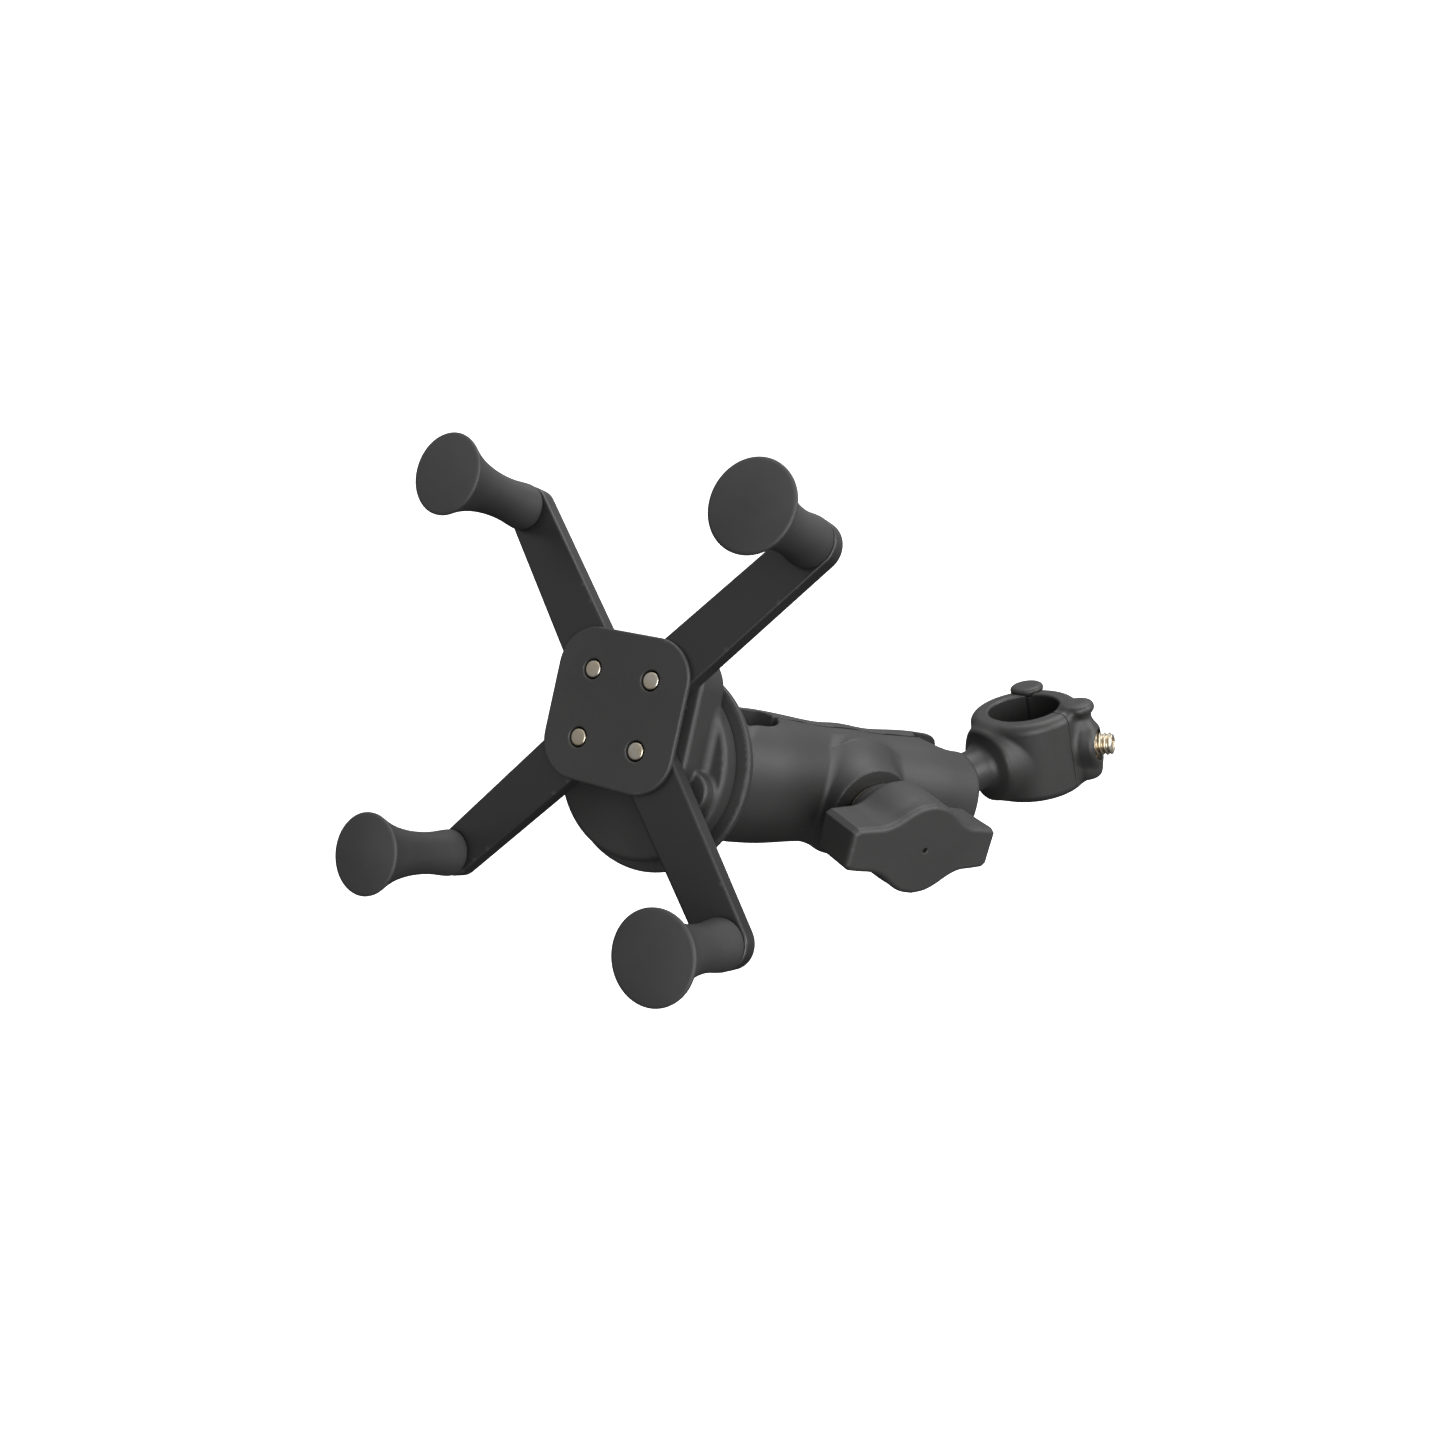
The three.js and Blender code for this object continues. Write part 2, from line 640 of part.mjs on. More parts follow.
function gripArm({ sx, sy }) {
  const reachX = sx * (POST_X - PIVOT);
  const reachY = sy * (POST_Y - PIVOT);
  const armAngle = THREE.MathUtils.radToDeg(Math.atan2(reachY, reachX));
  const phase = sx * sy > 0 ? 0 : 180 / GEAR_TEETH;
  const bar = plate(capsule(0, 0, 5.8, reachX, reachY, 5.0), ARM_BOTTOM, ARM_TOP);
  const gear = plate(gearPlan(phase, armAngle), ARM_BOTTOM, ARM_TOP);
  return cut(
    join(bar, gear),
    rod(2.2, 40, 60, 12),
    rod(2.1, 40, 60, 12).translate([reachX, reachY, 0])
  );
}

const gripCap = () => {
  const outer = [
    [2.2, ARM_TOP + GAP],
    [4.3, ARM_TOP + GAP],
    [5.0, ARM_TOP + 1.1],
    [4.5, 57.0],
    [4.4, 62.0],
    [5.4, 69.0],
    [7.6, 74.0],
    [CAP_RADIUS, 75.3],
    [CAP_RADIUS - 0.5, 75.9],
    [0, CAP_FACE + 0.4],
    [0, 71.3],
    [2.2, 71.3],
    [2.2, ARM_TOP + GAP],
  ];
  return turnedSolid(outer, 16);
};

addNode(cradle.group, 'hub_back', hubBack, nylon);
addNode(cradle.group, 'hub_cover', hubCover, nylon);
PIVOTS.forEach((p) => {
  const [px, py] = pivotAt(p);
  const postX = p.sx * POST_X;
  const postY = HUB_RISE + p.sy * POST_Y;
  const post = join(rod(3.3, ARM_BOTTOM - 1.6, ARM_BOTTOM - GAP, 12, 0.4), rod(1.8, ARM_BOTTOM - 1, 71.0, 12));
  addNode(cradle.group, `pivot_pin_${p.tag}`, rod(1.8, 40.9, COVER_TOP - 0.1, 12).translate([px, py, 0]), steel);
  addNode(cradle.group, `arm_spring_${p.tag}`, coil(3.6, 0.5, 43.5, 46.6, 2.5).translate([px, py, 0]), steel);
  addNode(cradle.group, `grip_arm_${p.tag}`, gripArm(p).translate([px, py, 0]), darkSteel);
  addNode(cradle.group, `post_pin_${p.tag}`, post.translate([postX, postY, 0]), steel);
  addNode(cradle.group, `grip_cap_${p.tag}`, gripCap().translate([postX, postY, 0]), rubber);
});

export default mount;
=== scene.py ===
"""Dresses the packed phone handlebar mount: moulded shells, turned parts, screws, springs,
finishes and a plain studio.

Shapes are worked out in millimetres in the axes of the part they belong to and are placed in
the object's frame in metres.
"""

import json

import bmesh
import bpy
import numpy as np
from bpy.props import FloatProperty, FloatVectorProperty, PointerProperty
from mathutils import Matrix, Vector


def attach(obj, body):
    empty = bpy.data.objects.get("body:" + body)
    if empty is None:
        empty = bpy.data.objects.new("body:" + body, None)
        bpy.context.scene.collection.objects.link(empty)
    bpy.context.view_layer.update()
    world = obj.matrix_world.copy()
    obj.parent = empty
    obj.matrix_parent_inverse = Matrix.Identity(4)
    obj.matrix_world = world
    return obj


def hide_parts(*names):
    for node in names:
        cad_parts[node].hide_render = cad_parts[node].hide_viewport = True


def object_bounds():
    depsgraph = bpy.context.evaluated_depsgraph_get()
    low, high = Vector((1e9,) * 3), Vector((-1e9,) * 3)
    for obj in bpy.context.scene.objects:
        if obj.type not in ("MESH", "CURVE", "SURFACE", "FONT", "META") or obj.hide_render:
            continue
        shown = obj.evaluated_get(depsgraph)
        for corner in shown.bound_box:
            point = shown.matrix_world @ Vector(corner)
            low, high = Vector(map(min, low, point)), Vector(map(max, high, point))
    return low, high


bl_info = {
    "name": "Phone Handlebar Mount",
    "version": (1, 0, 0),
    "blender": (4, 5, 0),
    "location": "3D View > Sidebar > Mount",
    "description": "Builds the visible pieces of a phone handlebar mount on its packed frame",
    "category": "Object",
}

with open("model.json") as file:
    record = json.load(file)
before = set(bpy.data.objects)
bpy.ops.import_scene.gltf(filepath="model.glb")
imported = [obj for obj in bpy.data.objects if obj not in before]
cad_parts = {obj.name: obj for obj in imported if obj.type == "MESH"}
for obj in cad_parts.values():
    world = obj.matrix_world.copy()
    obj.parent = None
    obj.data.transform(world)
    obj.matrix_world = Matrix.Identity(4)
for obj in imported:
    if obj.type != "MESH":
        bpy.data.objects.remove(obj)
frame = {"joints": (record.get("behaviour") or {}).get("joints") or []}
FRAME_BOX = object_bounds()
MM = 1000.0


# ---- places ----


class Place:
    """Axes of one group of pieces: an origin in millimetres and the directions of x, y and z, one
    to a row."""

    def __init__(self, origin, z, x_hint):
        z = z / np.linalg.norm(z)
        x = x_hint - (x_hint @ z) * z
        x = x / np.linalg.norm(x)
        self.origin = origin
        self.axes = np.stack([x, np.cross(z, x), z])

    def out(self, points):
        """Local points carried into the object's frame."""
        return points @ self.axes + self.origin

    def inward(self, points):
        """Points of the object's frame in local axes."""
        return (points - self.origin) @ self.axes.T


def joint(name):
    """The record's joint of that name."""
    return next(j for j in frame["joints"] if j["name"] == name)


def joint_point(name):
    """Where a joint's axis passes, in millimetres."""
    return np.array(joint(name)["pos_m"], float) * MM


def joint_axis(name):
    """A joint's direction."""
    return np.array(joint(name)["axis"], float)


def polar(radius, azimuth):
    """x and y at that radius and azimuth in degrees."""
    a = np.radians(azimuth)
    return radius * np.cos(a), radius * np.sin(a)


TAGS = {"ur": (1, 1), "ul": (-1, 1), "ll": (-1, -1), "lr": (1, -1)}
BAR_BALL = joint_point("bar_ball_twist")
CRADLE_BALL = joint_point("cradle_twist")
CLAMP = Place(np.zeros(3), np.array([0.0, 0.0, 1.0]), np.array([1.0, 0.0, 0.0]))
ARM = Place(BAR_BALL, joint_axis("knob_turn"), BAR_BALL - CRADLE_BALL)
CRADLE = Place(
    CRADLE_BALL,
    joint_axis("cradle_twist"),
    joint_point("grip_ur") - joint_point("grip_ul"),
)
PIVOTS = {t: CRADLE.inward(joint_point("grip_" + t))[:2] for t in TAGS}
HUB_CENTRE = np.mean(list(PIVOTS.values()), axis=0)
ARM_LENGTH = float(np.linalg.norm(BAR_BALL - CRADLE_BALL))
MIDDLE = -ARM_LENGTH / 2
NECK_AZIMUTH = float(np.degrees(np.arctan2(BAR_BALL[1], BAR_BALL[0]))) % 360
NECK_REACH = float(np.hypot(BAR_BALL[0], BAR_BALL[1]))
HINGE = joint_point("gate_hinge")[:2]
HINGE_AZIMUTH = float(np.degrees(np.arctan2(HINGE[1], HINGE[0])))
SCREW_AZIMUTH = float(
    np.degrees(np.arctan2(joint_axis("screw_turn")[1], joint_axis("screw_turn")[0]))
)
THREAD_RADIUS = 3.175  # of the clamp screw and the arm bolt
PITCH = 1.27  # lead of both threads
SCREW_LINE = Place(
    np.zeros(3),
    np.array([*polar(1.0, SCREW_AZIMUTH), 0.0]),
    np.array([0.0, 0.0, 1.0]),
)
NECK_LINE = Place(
    np.zeros(3), np.array([*polar(1.0, NECK_AZIMUTH), 0.0]), np.array([0.0, 0.0, 1.0])
)


# ---- settings ----


def length(name, description, default):
    """A length property in metres."""
    return FloatProperty(
        name=name,
        description=description,
        default=default,
        min=0.0,
        unit="LENGTH",
        subtype="DISTANCE",
        precision=5,
    )


def colour(name, description, default):
    """A colour property."""
    return FloatVectorProperty(
        name=name,
        description=description,
        default=default,
        size=3,
        min=0.0,
        max=1.0,
        subtype="COLOR",
    )


class ClampSizes(bpy.types.PropertyGroup):
    """Sizes of the bar clamp."""

    bore: length("Bore radius", "Radius of the hole for the bar", 0.009675)
    sleeve: length("Sleeve radius", "Outer radius of the sleeve", 0.015)
    half: length("Half height", "Half the height of the sleeve", 0.0117)
    rim: length("Rim rounding", "Rounding of the sleeve's rims", 0.0026)
    neck: length("Neck radius", "Radius of the ball necks", 0.0059)
    saddle: length("Saddle radius", "Radius of the raised saddle round the neck", 0.0108)


class ArmSizes(bpy.types.PropertyGroup):
    """Sizes of the double socket arm and its balls."""

    ball: length("Ball radius", "Radius of a ball over its rubber jacket", 0.0127)
    core: length("Core radius", "Radius of a ball's core", 0.0105)
    rim: length("Socket rim", "How far a socket reaches past its ball centre", 0.0052)
    height: length("Socket half height", "Half height over a socket", 0.0163)
    waist_height: length("Waist half height", "Half height at the waist", 0.015)
    depth: length("Socket depth", "Depth of one shell over a socket", 0.016)
    waist_depth: length("Waist depth", "Depth of one shell at the waist", 0.013)
    seam: length("Half seam", "Half the gap between the shells", 0.0009)
    boss: length("Boss face", "Height of the boss face over the arm's middle plane", 0.018)


class KnobSizes(bpy.types.PropertyGroup):
    """Sizes of the wing knob."""

    front: length("Front face", "Height of the front face over the arm's middle plane", 0.0395)
    back: length("Wing back", "Height of the back of the wings", 0.0246)
    reach: length("Wing reach", "Half the span of the wings", 0.0206)
    bulge: length("Bulge", "Half width of the knob at its middle", 0.0112)
    hub: length("Hub radius", "Radius of the hub behind the wings", 0.0098)
    turn: FloatProperty(
        name="Turn", description="Turn of the knob from the arm", default=0.0698, subtype="ANGLE"
    )


class CradleSizes(bpy.types.PropertyGroup):
    """Sizes of the cradle."""

    post_x: length("Post across", "Grip post from the hub centre, across", 0.0337)
    post_y: length("Post along", "Grip post from the hub centre, along", 0.0376)
    base: length("Base radius", "Radius of the round ball base", 0.023)
    cap: length("Cap radius", "Radius of a grip cap's face", 0.00815)
    cap_face: length("Cap face", "Height of a cap's face over the cradle ball", 0.0761)
    hub_half: length("Hub half width", "Half the width of the square hub", 0.0156)
    wire: length("Spring wire", "Radius of the arm springs' wire", 0.0005)


class FinishColours(bpy.types.PropertyGroup):
    """Colours of the finishes."""

    nylon: colour("Arm nylon", "Colour of the arm and hub nylon", (0.026, 0.026, 0.0255))
    clamp: colour("Clamp nylon", "Colour of the clamp nylon", (0.022, 0.0215, 0.021))
    knob: colour("Knob nylon", "Colour of the knob nylon", (0.03, 0.0295, 0.029))
    cap: colour("Cap rubber", "Colour of the grip caps", (0.032, 0.032, 0.0325))
    ball: colour("Ball rubber", "Colour of the ball jackets", (0.026, 0.026, 0.026))
    coated: colour("Coated steel", "Colour of the coated grip arms", (0.018, 0.018, 0.0185))
    steel: colour("Zinc steel", "Colour of the zinc-plated steel", (0.66, 0.63, 0.57))
    brass: colour("Brass", "Colour of the brass inserts", (0.6, 0.42, 0.2))


class StageSettings(bpy.types.PropertyGroup):
    """The studio round the object."""

    floor: colour("Floor", "Colour of the floor and backdrop", (0.95, 0.95, 0.95))
    drop: length("Floor drop", "How far the floor lies below the object", 0.26)
    reach: length("Backdrop reach", "Distance from the object to the backdrop", 1.6)
    lens: length("Lens", "Focal length of the camera over a 36 mm sensor", 0.026012)


def settings(name):
    """One group of the scene's mount settings."""
    return getattr(bpy.context.scene, "mount_" + name)


def mm(value):
    """A length property in millimetres."""
    return value * MM


# ---- surfaces of two parameters ----


def grid(points):
    """A grid of points, rows by columns, closed across its columns: the quad between neighbouring
    rows and columns."""
    rows, columns = points.shape[:2]
    first = np.arange(rows - 1)[:, None] * columns + np.arange(columns)
    right = np.arange(rows - 1)[:, None] * columns + (np.arange(columns) + 1) % columns
    quads = np.stack([first, right, right + columns, first + columns], -1)
    return points.reshape(-1, 3), quads.reshape(-1, 4)


def eased(profile, ease, steps=5):
    """A profile whose corners are eased: each corner P becomes the curve (1-t)^2 A + 2t(1-t) P +
    t^2 B, with A and B at the ease distance along its two sides and a support point beyond each.
    """
    p = np.asarray(profile, float)
    before, after = p[:-2] - p[1:-1], p[2:] - p[1:-1]
    la = np.linalg.norm(before, axis=1, keepdims=True)
    lb = np.linalg.norm(after, axis=1, keepdims=True)
    da, db = np.minimum(ease, 0.42 * la), np.minimum(ease, 0.42 * lb)
    a, b = p[1:-1] + before / la * da, p[1:-1] + after / lb * db
    t = np.linspace(0, 1, steps)[None, :, None]
    arc = (1 - t) ** 2 * a[:, None] + 2 * t * (1 - t) * p[1:-1, None] + t**2 * b[:, None]
    out = np.concatenate(
        [(a + before / la * da * 0.15)[:, None], arc, (b + after / lb * db * 0.15)[:, None]], 1
    )
    return np.concatenate([p[:1], out.reshape(-1, 2), p[-1:]])


def curved(points, steps=6):
    """A smooth curve through the points: on each span the cubic with slopes of half the step
    between the neighbours."""
    p = np.asarray(points, float)
    slope = np.gradient(p, axis=0)
    t = np.linspace(0, 1, steps, endpoint=False)[None, :, None]
    h00, h10 = 2 * t**3 - 3 * t**2 + 1, t**3 - 2 * t**2 + t
    h01, h11 = -2 * t**3 + 3 * t**2, t**3 - t**2
    spans = (
        h00 * p[:-1, None]
        + h10 * slope[:-1, None]
        + h01 * p[1:, None]
        + h11 * slope[1:, None]
    )
    return np.concatenate([spans.reshape(-1, p.shape[1]), p[-1:]])


def turned(profile, columns=64):
    """A profile of radius r and height h turned about z by the angle a: x = r cos a, y = r sin a,
    z = h."""
    r, h = np.asarray(profile, float).T
    a = np.linspace(0, 2 * np.pi, columns, endpoint=False)
    return grid(
        np.stack([r[:, None] * np.cos(a), r[:, None] * np.sin(a), h[:, None] + 0 * a], -1)
    )


def coil(radius, wire, low, high, turns, around=10):
    """A round wire carried along a helix: the helix point plus the wire radius times cos b outward
    and sin b along its binormal. The first and last turns lie flat."""
    t = np.linspace(0, 1, int(36 * turns) + 1)
    a = 2 * np.pi * turns * t
    rise = np.clip((t * turns - 0.5) / (turns - 1.0), 0, 1)
    h = low + wire + (high - low - 2 * wire) * rise
    centre = np.stack([radius * np.cos(a), radius * np.sin(a), h], -1)
    along = np.gradient(centre, axis=0)
    along /= np.linalg.norm(along, axis=1, keepdims=True)
    outward = np.stack([np.cos(a), np.sin(a), 0 * a], -1)
    beside = np.cross(along, outward)
    b = np.linspace(0, 2 * np.pi, around, endpoint=False)[None, :, None]
    size = np.full(len(t), wire)
    size[[0, -1]] = 0
    points = centre[:, None] + size[:, None, None] * (
        np.cos(b) * outward[:, None] + np.sin(b) * beside[:, None]
    )
    return grid(points)


def threaded(radius, depth, pitch, low, high, recess=0.0, columns=48, rows_per_pitch=12):
    """A screw thread: at height h and angle a the phase is h over the pitch less a over one turn,
    and the radius falls from the crest by the depth times a flat-topped wave of that phase. Both
    ends are chamfered, and the far end may hold a hexagonal recess."""
    rows = int((high - low) / pitch * rows_per_pitch)
    h = np.linspace(low, high, rows)[:, None]
    a = np.linspace(0, 2 * np.pi, columns, endpoint=False)[None]
    wave = np.abs(2 * ((h / pitch - a / (2 * np.pi)) % 1) - 1)
    r = radius - depth * np.clip(1.25 * wave - 0.08, 0, 1)
    lead = np.minimum(h - low, high - h)
    r = np.minimum(r, radius - depth + lead * 1.2)
    shut = np.zeros((1, columns))
    rings, heights = [shut, r], [shut + low, h + 0 * a]
    if recess > 0:
        six = recess / np.cos((a + np.pi / 6) % (np.pi / 3) - np.pi / 6)
        rings += [six, six * 0.97, six * 0.97, shut]
        heights += [shut + high, shut + high - 0.25, shut + high - 2.2, shut + high - 2.4]
    else:
        rings.append(shut)
        heights.append(shut + high)
    r, h = np.concatenate(rings), np.concatenate(heights)
    return grid(np.stack([r * np.cos(a), r * np.sin(a), h], -1))


def six_sided(radius, low, high):
    """A hexagonal prism whose far corners are rounded: the radius at angle a is the flat's
    distance over cos a, at most the corner radius."""
    a = np.linspace(0, 2 * np.pi, 72, endpoint=False)[None]
    flat = radius * 0.866
    six = np.minimum(flat / np.cos((a + np.pi / 6) % (np.pi / 3) - np.pi / 6), radius * 0.985)
    disc = np.full_like(six, flat * 0.97)
    shut = np.zeros_like(six)
    rings = [shut, np.minimum(disc, six), six, six, six - 0.05, shut]
    heights = [low, low, low + 0.4, high - 0.1, high, high]
    r = np.concatenate(rings)
    h = np.array(heights)[:, None] + 0 * r
    return grid(np.stack([r * np.cos(a), r * np.sin(a), h], -1))


# ---- moulded forms: the level surface of a distance ----


def smooth(t):
    """3t^2 - 2t^3 between nought and one."""
    t = np.clip(t, 0, 1)
    return t * t * (3 - 2 * t)


def join(a, b, fillet=0.0):
    """The nearer of two distances, with a round fillet where the two forms meet."""
    if fillet <= 0:
        return np.minimum(a, b)
    return np.maximum(fillet, np.minimum(a, b)) - np.hypot(
        np.maximum(fillet - a, 0), np.maximum(fillet - b, 0)
    )


def meet(a, b, ease=0.0):
    """What two forms share, with the edge between them rounded."""
    return -join(-a, -b, ease)


def cut(a, b, ease=0.0):
    """The first form without the second, with the edge between them rounded."""
    return -join(-a, b, ease)


def bar(r, z, radius, low, high, ease=0.0):
    """Distance to a round bar: the outside corner distance of (r - radius) and (|z - middle| -
    half length), eased."""
    a = r - radius + ease
    b = np.abs(z - (low + high) / 2) - (high - low) / 2 + ease
    return (
        np.minimum(np.maximum(a, b), 0)
        + np.hypot(np.maximum(a, 0), np.maximum(b, 0))
        - ease
    )


def outline(x, y, corners):
    """Distance to a closed outline: to its nearest side, taken negative inside."""
    near = np.full(np.shape(x), np.inf)
    within = np.zeros(np.shape(x), bool)
    for (ax, ay), (bx, by) in zip(corners, np.roll(corners, -1, 0)):
        ex, ey = bx - ax, by - ay
        t = np.clip(((x - ax) * ex + (y - ay) * ey) / (ex * ex + ey * ey + 1e-12), 0, 1)
        near = np.minimum(near, (x - ax - t * ex) ** 2 + (y - ay - t * ey) ** 2)
        if abs(ey) > 1e-9:
            within ^= ((ay > y) != (by > y)) & (x < ax + (y - ay) * ex / ey)
    return np.where(within, -1, 1) * np.sqrt(near)


def hexagon(x, y, flat):
    """Distance to a hexagon: the farthest of its three pairs of flats."""
    turns = np.radians([0, 60, 120])
    return np.max([np.abs(x * np.cos(a) + y * np.sin(a)) for a in turns], axis=0) - flat


def sector(x, y, start, end):
    """Distance to the slice between two azimuths less than half a turn apart."""
    a, b = np.radians([start, end])
    return np.maximum(x * np.sin(a) - y * np.cos(a), -x * np.sin(b) + y * np.cos(b))


def rounded_square(x, y, half, corner):
    """Distance to a square with rounded corners."""
    a, b = np.abs(x) - half + corner, np.abs(y) - half + corner
    return (
        np.minimum(np.maximum(a, b), 0)
        + np.hypot(np.maximum(a, 0), np.maximum(b, 0))
        - corner
    )


def level_surface(distance, low, high, step):
    """The closed surface where the distance is nought. Each grid cell that it crosses gets a point
    at the mean of the crossings of its edges, moved along the distance's slope onto the surface,
    and each grid edge that it crosses gets the quad of the four cells round it. Returns points,
    quads and unit normals."""
    axes = [np.arange(a, b + step, step) for a, b in zip(low, high)]
    d = distance(*np.meshgrid(*axes, indexing="ij"))
    inside = d < 0
    corners = [(i, j, k) for i in (0, 1) for j in (0, 1) for k in (0, 1)]
    shape = np.array(d.shape) - 1

    def part(field, c):
        return field[tuple(slice(o, o + n) for o, n in zip(c, shape))]

    count = sum(part(inside, c).astype(np.int8) for c in corners)
    crossed = (count > 0) & (count < 8)
    cells = np.argwhere(crossed)
    value = np.stack([part(d, c)[crossed] for c in corners], -1)
    total, hits = np.zeros((len(cells), 3)), np.zeros(len(cells))
    for m, c in enumerate(corners):
        for axis in range(3):
            if c[axis]:
                continue
            n = m + (4, 2, 1)[axis]
            change = (value[:, m] < 0) != (value[:, n] < 0)
            t = np.where(change, value[:, m] / (value[:, m] - value[:, n] + 1e-30), 0)
            spot = np.array(c, float) + t[:, None] * np.eye(3)[axis]
            total += np.where(change[:, None], spot, 0)
            hits += change
    points = np.array(low) + (cells + total / hits[:, None]) * step
    for _ in range(2):
        slope = gradient(distance, points)
        steep = np.maximum((slope**2).sum(1), 0.25)
        move = -distance(*points.T) / steep
        points = points + np.clip(move, -step / 2, step / 2)[:, None] * slope
    normals = gradient(distance, points)
    normals /= np.maximum(np.linalg.norm(normals, axis=1, keepdims=True), 1e-9)

    index = np.full(crossed.shape, -1)
    index[crossed] = np.arange(len(cells))
    quads = []
    for axis in range(3):
        lower = np.take(inside, range(d.shape[axis] - 1), axis)
        upper = np.take(inside, range(1, d.shape[axis]), axis)
        node = np.argwhere(lower != upper)
        b, c = np.eye(3, dtype=int)[(axis + 1) % 3], np.eye(3, dtype=int)[(axis + 2) % 3]
        ring = np.stack([index[tuple((node - s).T)] for s in (b + c, c, 0 * b, b)], -1)
        outward = lower[tuple(node.T)]
        quads.append(np.where(outward[:, None], ring, ring[:, ::-1]))
    return points, np.concatenate(quads), normals


def gradient(distance, points, reach=0.05):
    """The slope of a distance from central differences."""
    shifts = np.eye(3) * reach
    return np.stack(
        [(distance(*(points + s).T) - distance(*(points - s).T)) / (2 * reach) for s in shifts],
        -1,
    )


# ---- pieces ----


def add_piece(node, body, slot, place, surface):
    """Puts one surface into a mesh in the object's frame, rides it on its body and names the node
    that it stands for."""
    name = "shown_" + node
    points, quads = surface[:2]
    mesh = bpy.data.meshes.new(name)
    mesh.vertices.add(len(points))
    mesh.vertices.foreach_set("co", (place.out(points) / MM).astype(np.float32).ravel())
    mesh.loops.add(quads.size)
    mesh.loops.foreach_set("vertex_index", quads.astype(np.int32).ravel())
    mesh.polygons.add(len(quads))
    mesh.polygons.foreach_set("loop_start", np.arange(0, quads.size, 4, dtype=np.int32))
    mesh.update(calc_edges=True)
    mesh.validate()
    if len(surface) == 3:
        mesh.shade_smooth()
        mesh.normals_split_custom_set_from_vertices(surface[2] @ place.axes)
    else:
        weld(mesh)
        mesh.shade_smooth()
    piece = bpy.data.objects.new(name, mesh)
    bpy.context.scene.collection.objects.link(piece)
    mesh.materials.append(finish(slot))
    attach(piece, body)
    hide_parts(node)


def weld(mesh):
    """Merges the points of poles and closed seams and turns the faces outward."""
    work = bmesh.new()
    work.from_mesh(mesh)
    bmesh.ops.remove_doubles(work, verts=work.verts, dist=2e-6)
    bmesh.ops.dissolve_degenerate(work, edges=work.edges, dist=1e-7)
    bmesh.ops.recalc_face_normals(work, faces=work.faces)
    work.to_mesh(mesh)
    work.free()


def together(*surfaces):
    """Several closed surfaces as one."""
    points, quads, start = [], [], 0
    for p, q in surfaces:
        points.append(p)
        quads.append(q + start)
        start += len(p)
    return np.concatenate(points), np.concatenate(quads)


def moved(surface, x, y):
    """A surface moved across its own axes."""
    return (surface[0] + np.array([x, y, 0.0]), *surface[1:])


# ---- finishes ----


class Value:
    """A shader socket that Python's own operators add Math nodes to."""

    def __init__(self, finish, socket):
        self.finish, self.socket = finish, socket

    def _math(self, operation, a, b):
        return self.finish.node("ShaderNodeMath", {"operation": operation}, {0: a, 1: b})

    def __add__(self, other):
        return self._math("ADD", self, other)

    def __radd__(self, other):
        return self._math("ADD", other, self)

    def __sub__(self, other):
        return self._math("SUBTRACT", self, other)

    def __rsub__(self, other):
        return self._math("SUBTRACT", other, self)

    def __mul__(self, other):
        return self._math("MULTIPLY", self, other)

    def __rmul__(self, other):
        return self._math("MULTIPLY", other, self)


class Finish:
    """A material while it is being made."""

    def __init__(self, name):
        self.material = bpy.data.materials.new(name)
        self.material.use_nodes = True
        self.tree = self.material.node_tree
        self.tree.nodes.clear()
        self.object = self.node("ShaderNodeTexCoord", output="Object")

    def node(self, kind, setup=None, values=None, output=0):
        """Adds a node: its settings first, then a value or a link for each named or numbered
        socket."""
        node = self.tree.nodes.new(kind)
        for key, value in (setup or {}).items():
            setattr(node, key, value)
        for key, value in (values or {}).items():
            if isinstance(value, Value):
                self.tree.links.new(value.socket, node.inputs[key])
            else:
                node.inputs[key].default_value = value
        return None if output is None else Value(self, node.outputs[output])

    def noise(self, scale, detail=3.0, roughness=0.5):
        """Even noise between nought and one."""
        return self.node(
            "ShaderNodeTexNoise",
            {"noise_dimensions": "3D"},
            {"Vector": self.object, "Scale": scale, "Detail": detail, "Roughness": roughness},
            "Fac",
        )

    def ramp(self, value, low, high, start=0.0, end=1.0):
        """A value carried from one range to another and held at its ends."""
        return self.node(
            "ShaderNodeMapRange",
            {"clamp": True},
            {"Value": value, "From Min": low, "From Max": high, "To Min": start, "To Max": end},
            "Result",
        )

    def mix(self, share, a, b):
        """Two colours mixed by a share."""
        return self.node(
            "ShaderNodeMix",
            {"data_type": "RGBA", "blend_type": "MIX"},
            {"Factor": share, 6: a, 7: b},
            2,
        )

    def bump(self, height, strength, distance):
        """A surface normal roughened by a height."""
        return self.node(
            "ShaderNodeBump", None, {"Height": height, "Strength": strength, "Distance": distance}
        )

    def done(self, **values):
        """Closes the material with the main shader."""
        keys = {k.replace("_", " "): v for k, v in values.items()}
        shader = self.node("ShaderNodeBsdfPrincipled", None, keys)
        self.node("ShaderNodeOutputMaterial", None, {"Surface": shader}, None)
        return self.material


def tone(base, factor):
    """A colour scaled by a number, with an alpha of one."""
    return (*[min(1.0, c * factor) for c in base], 1.0)


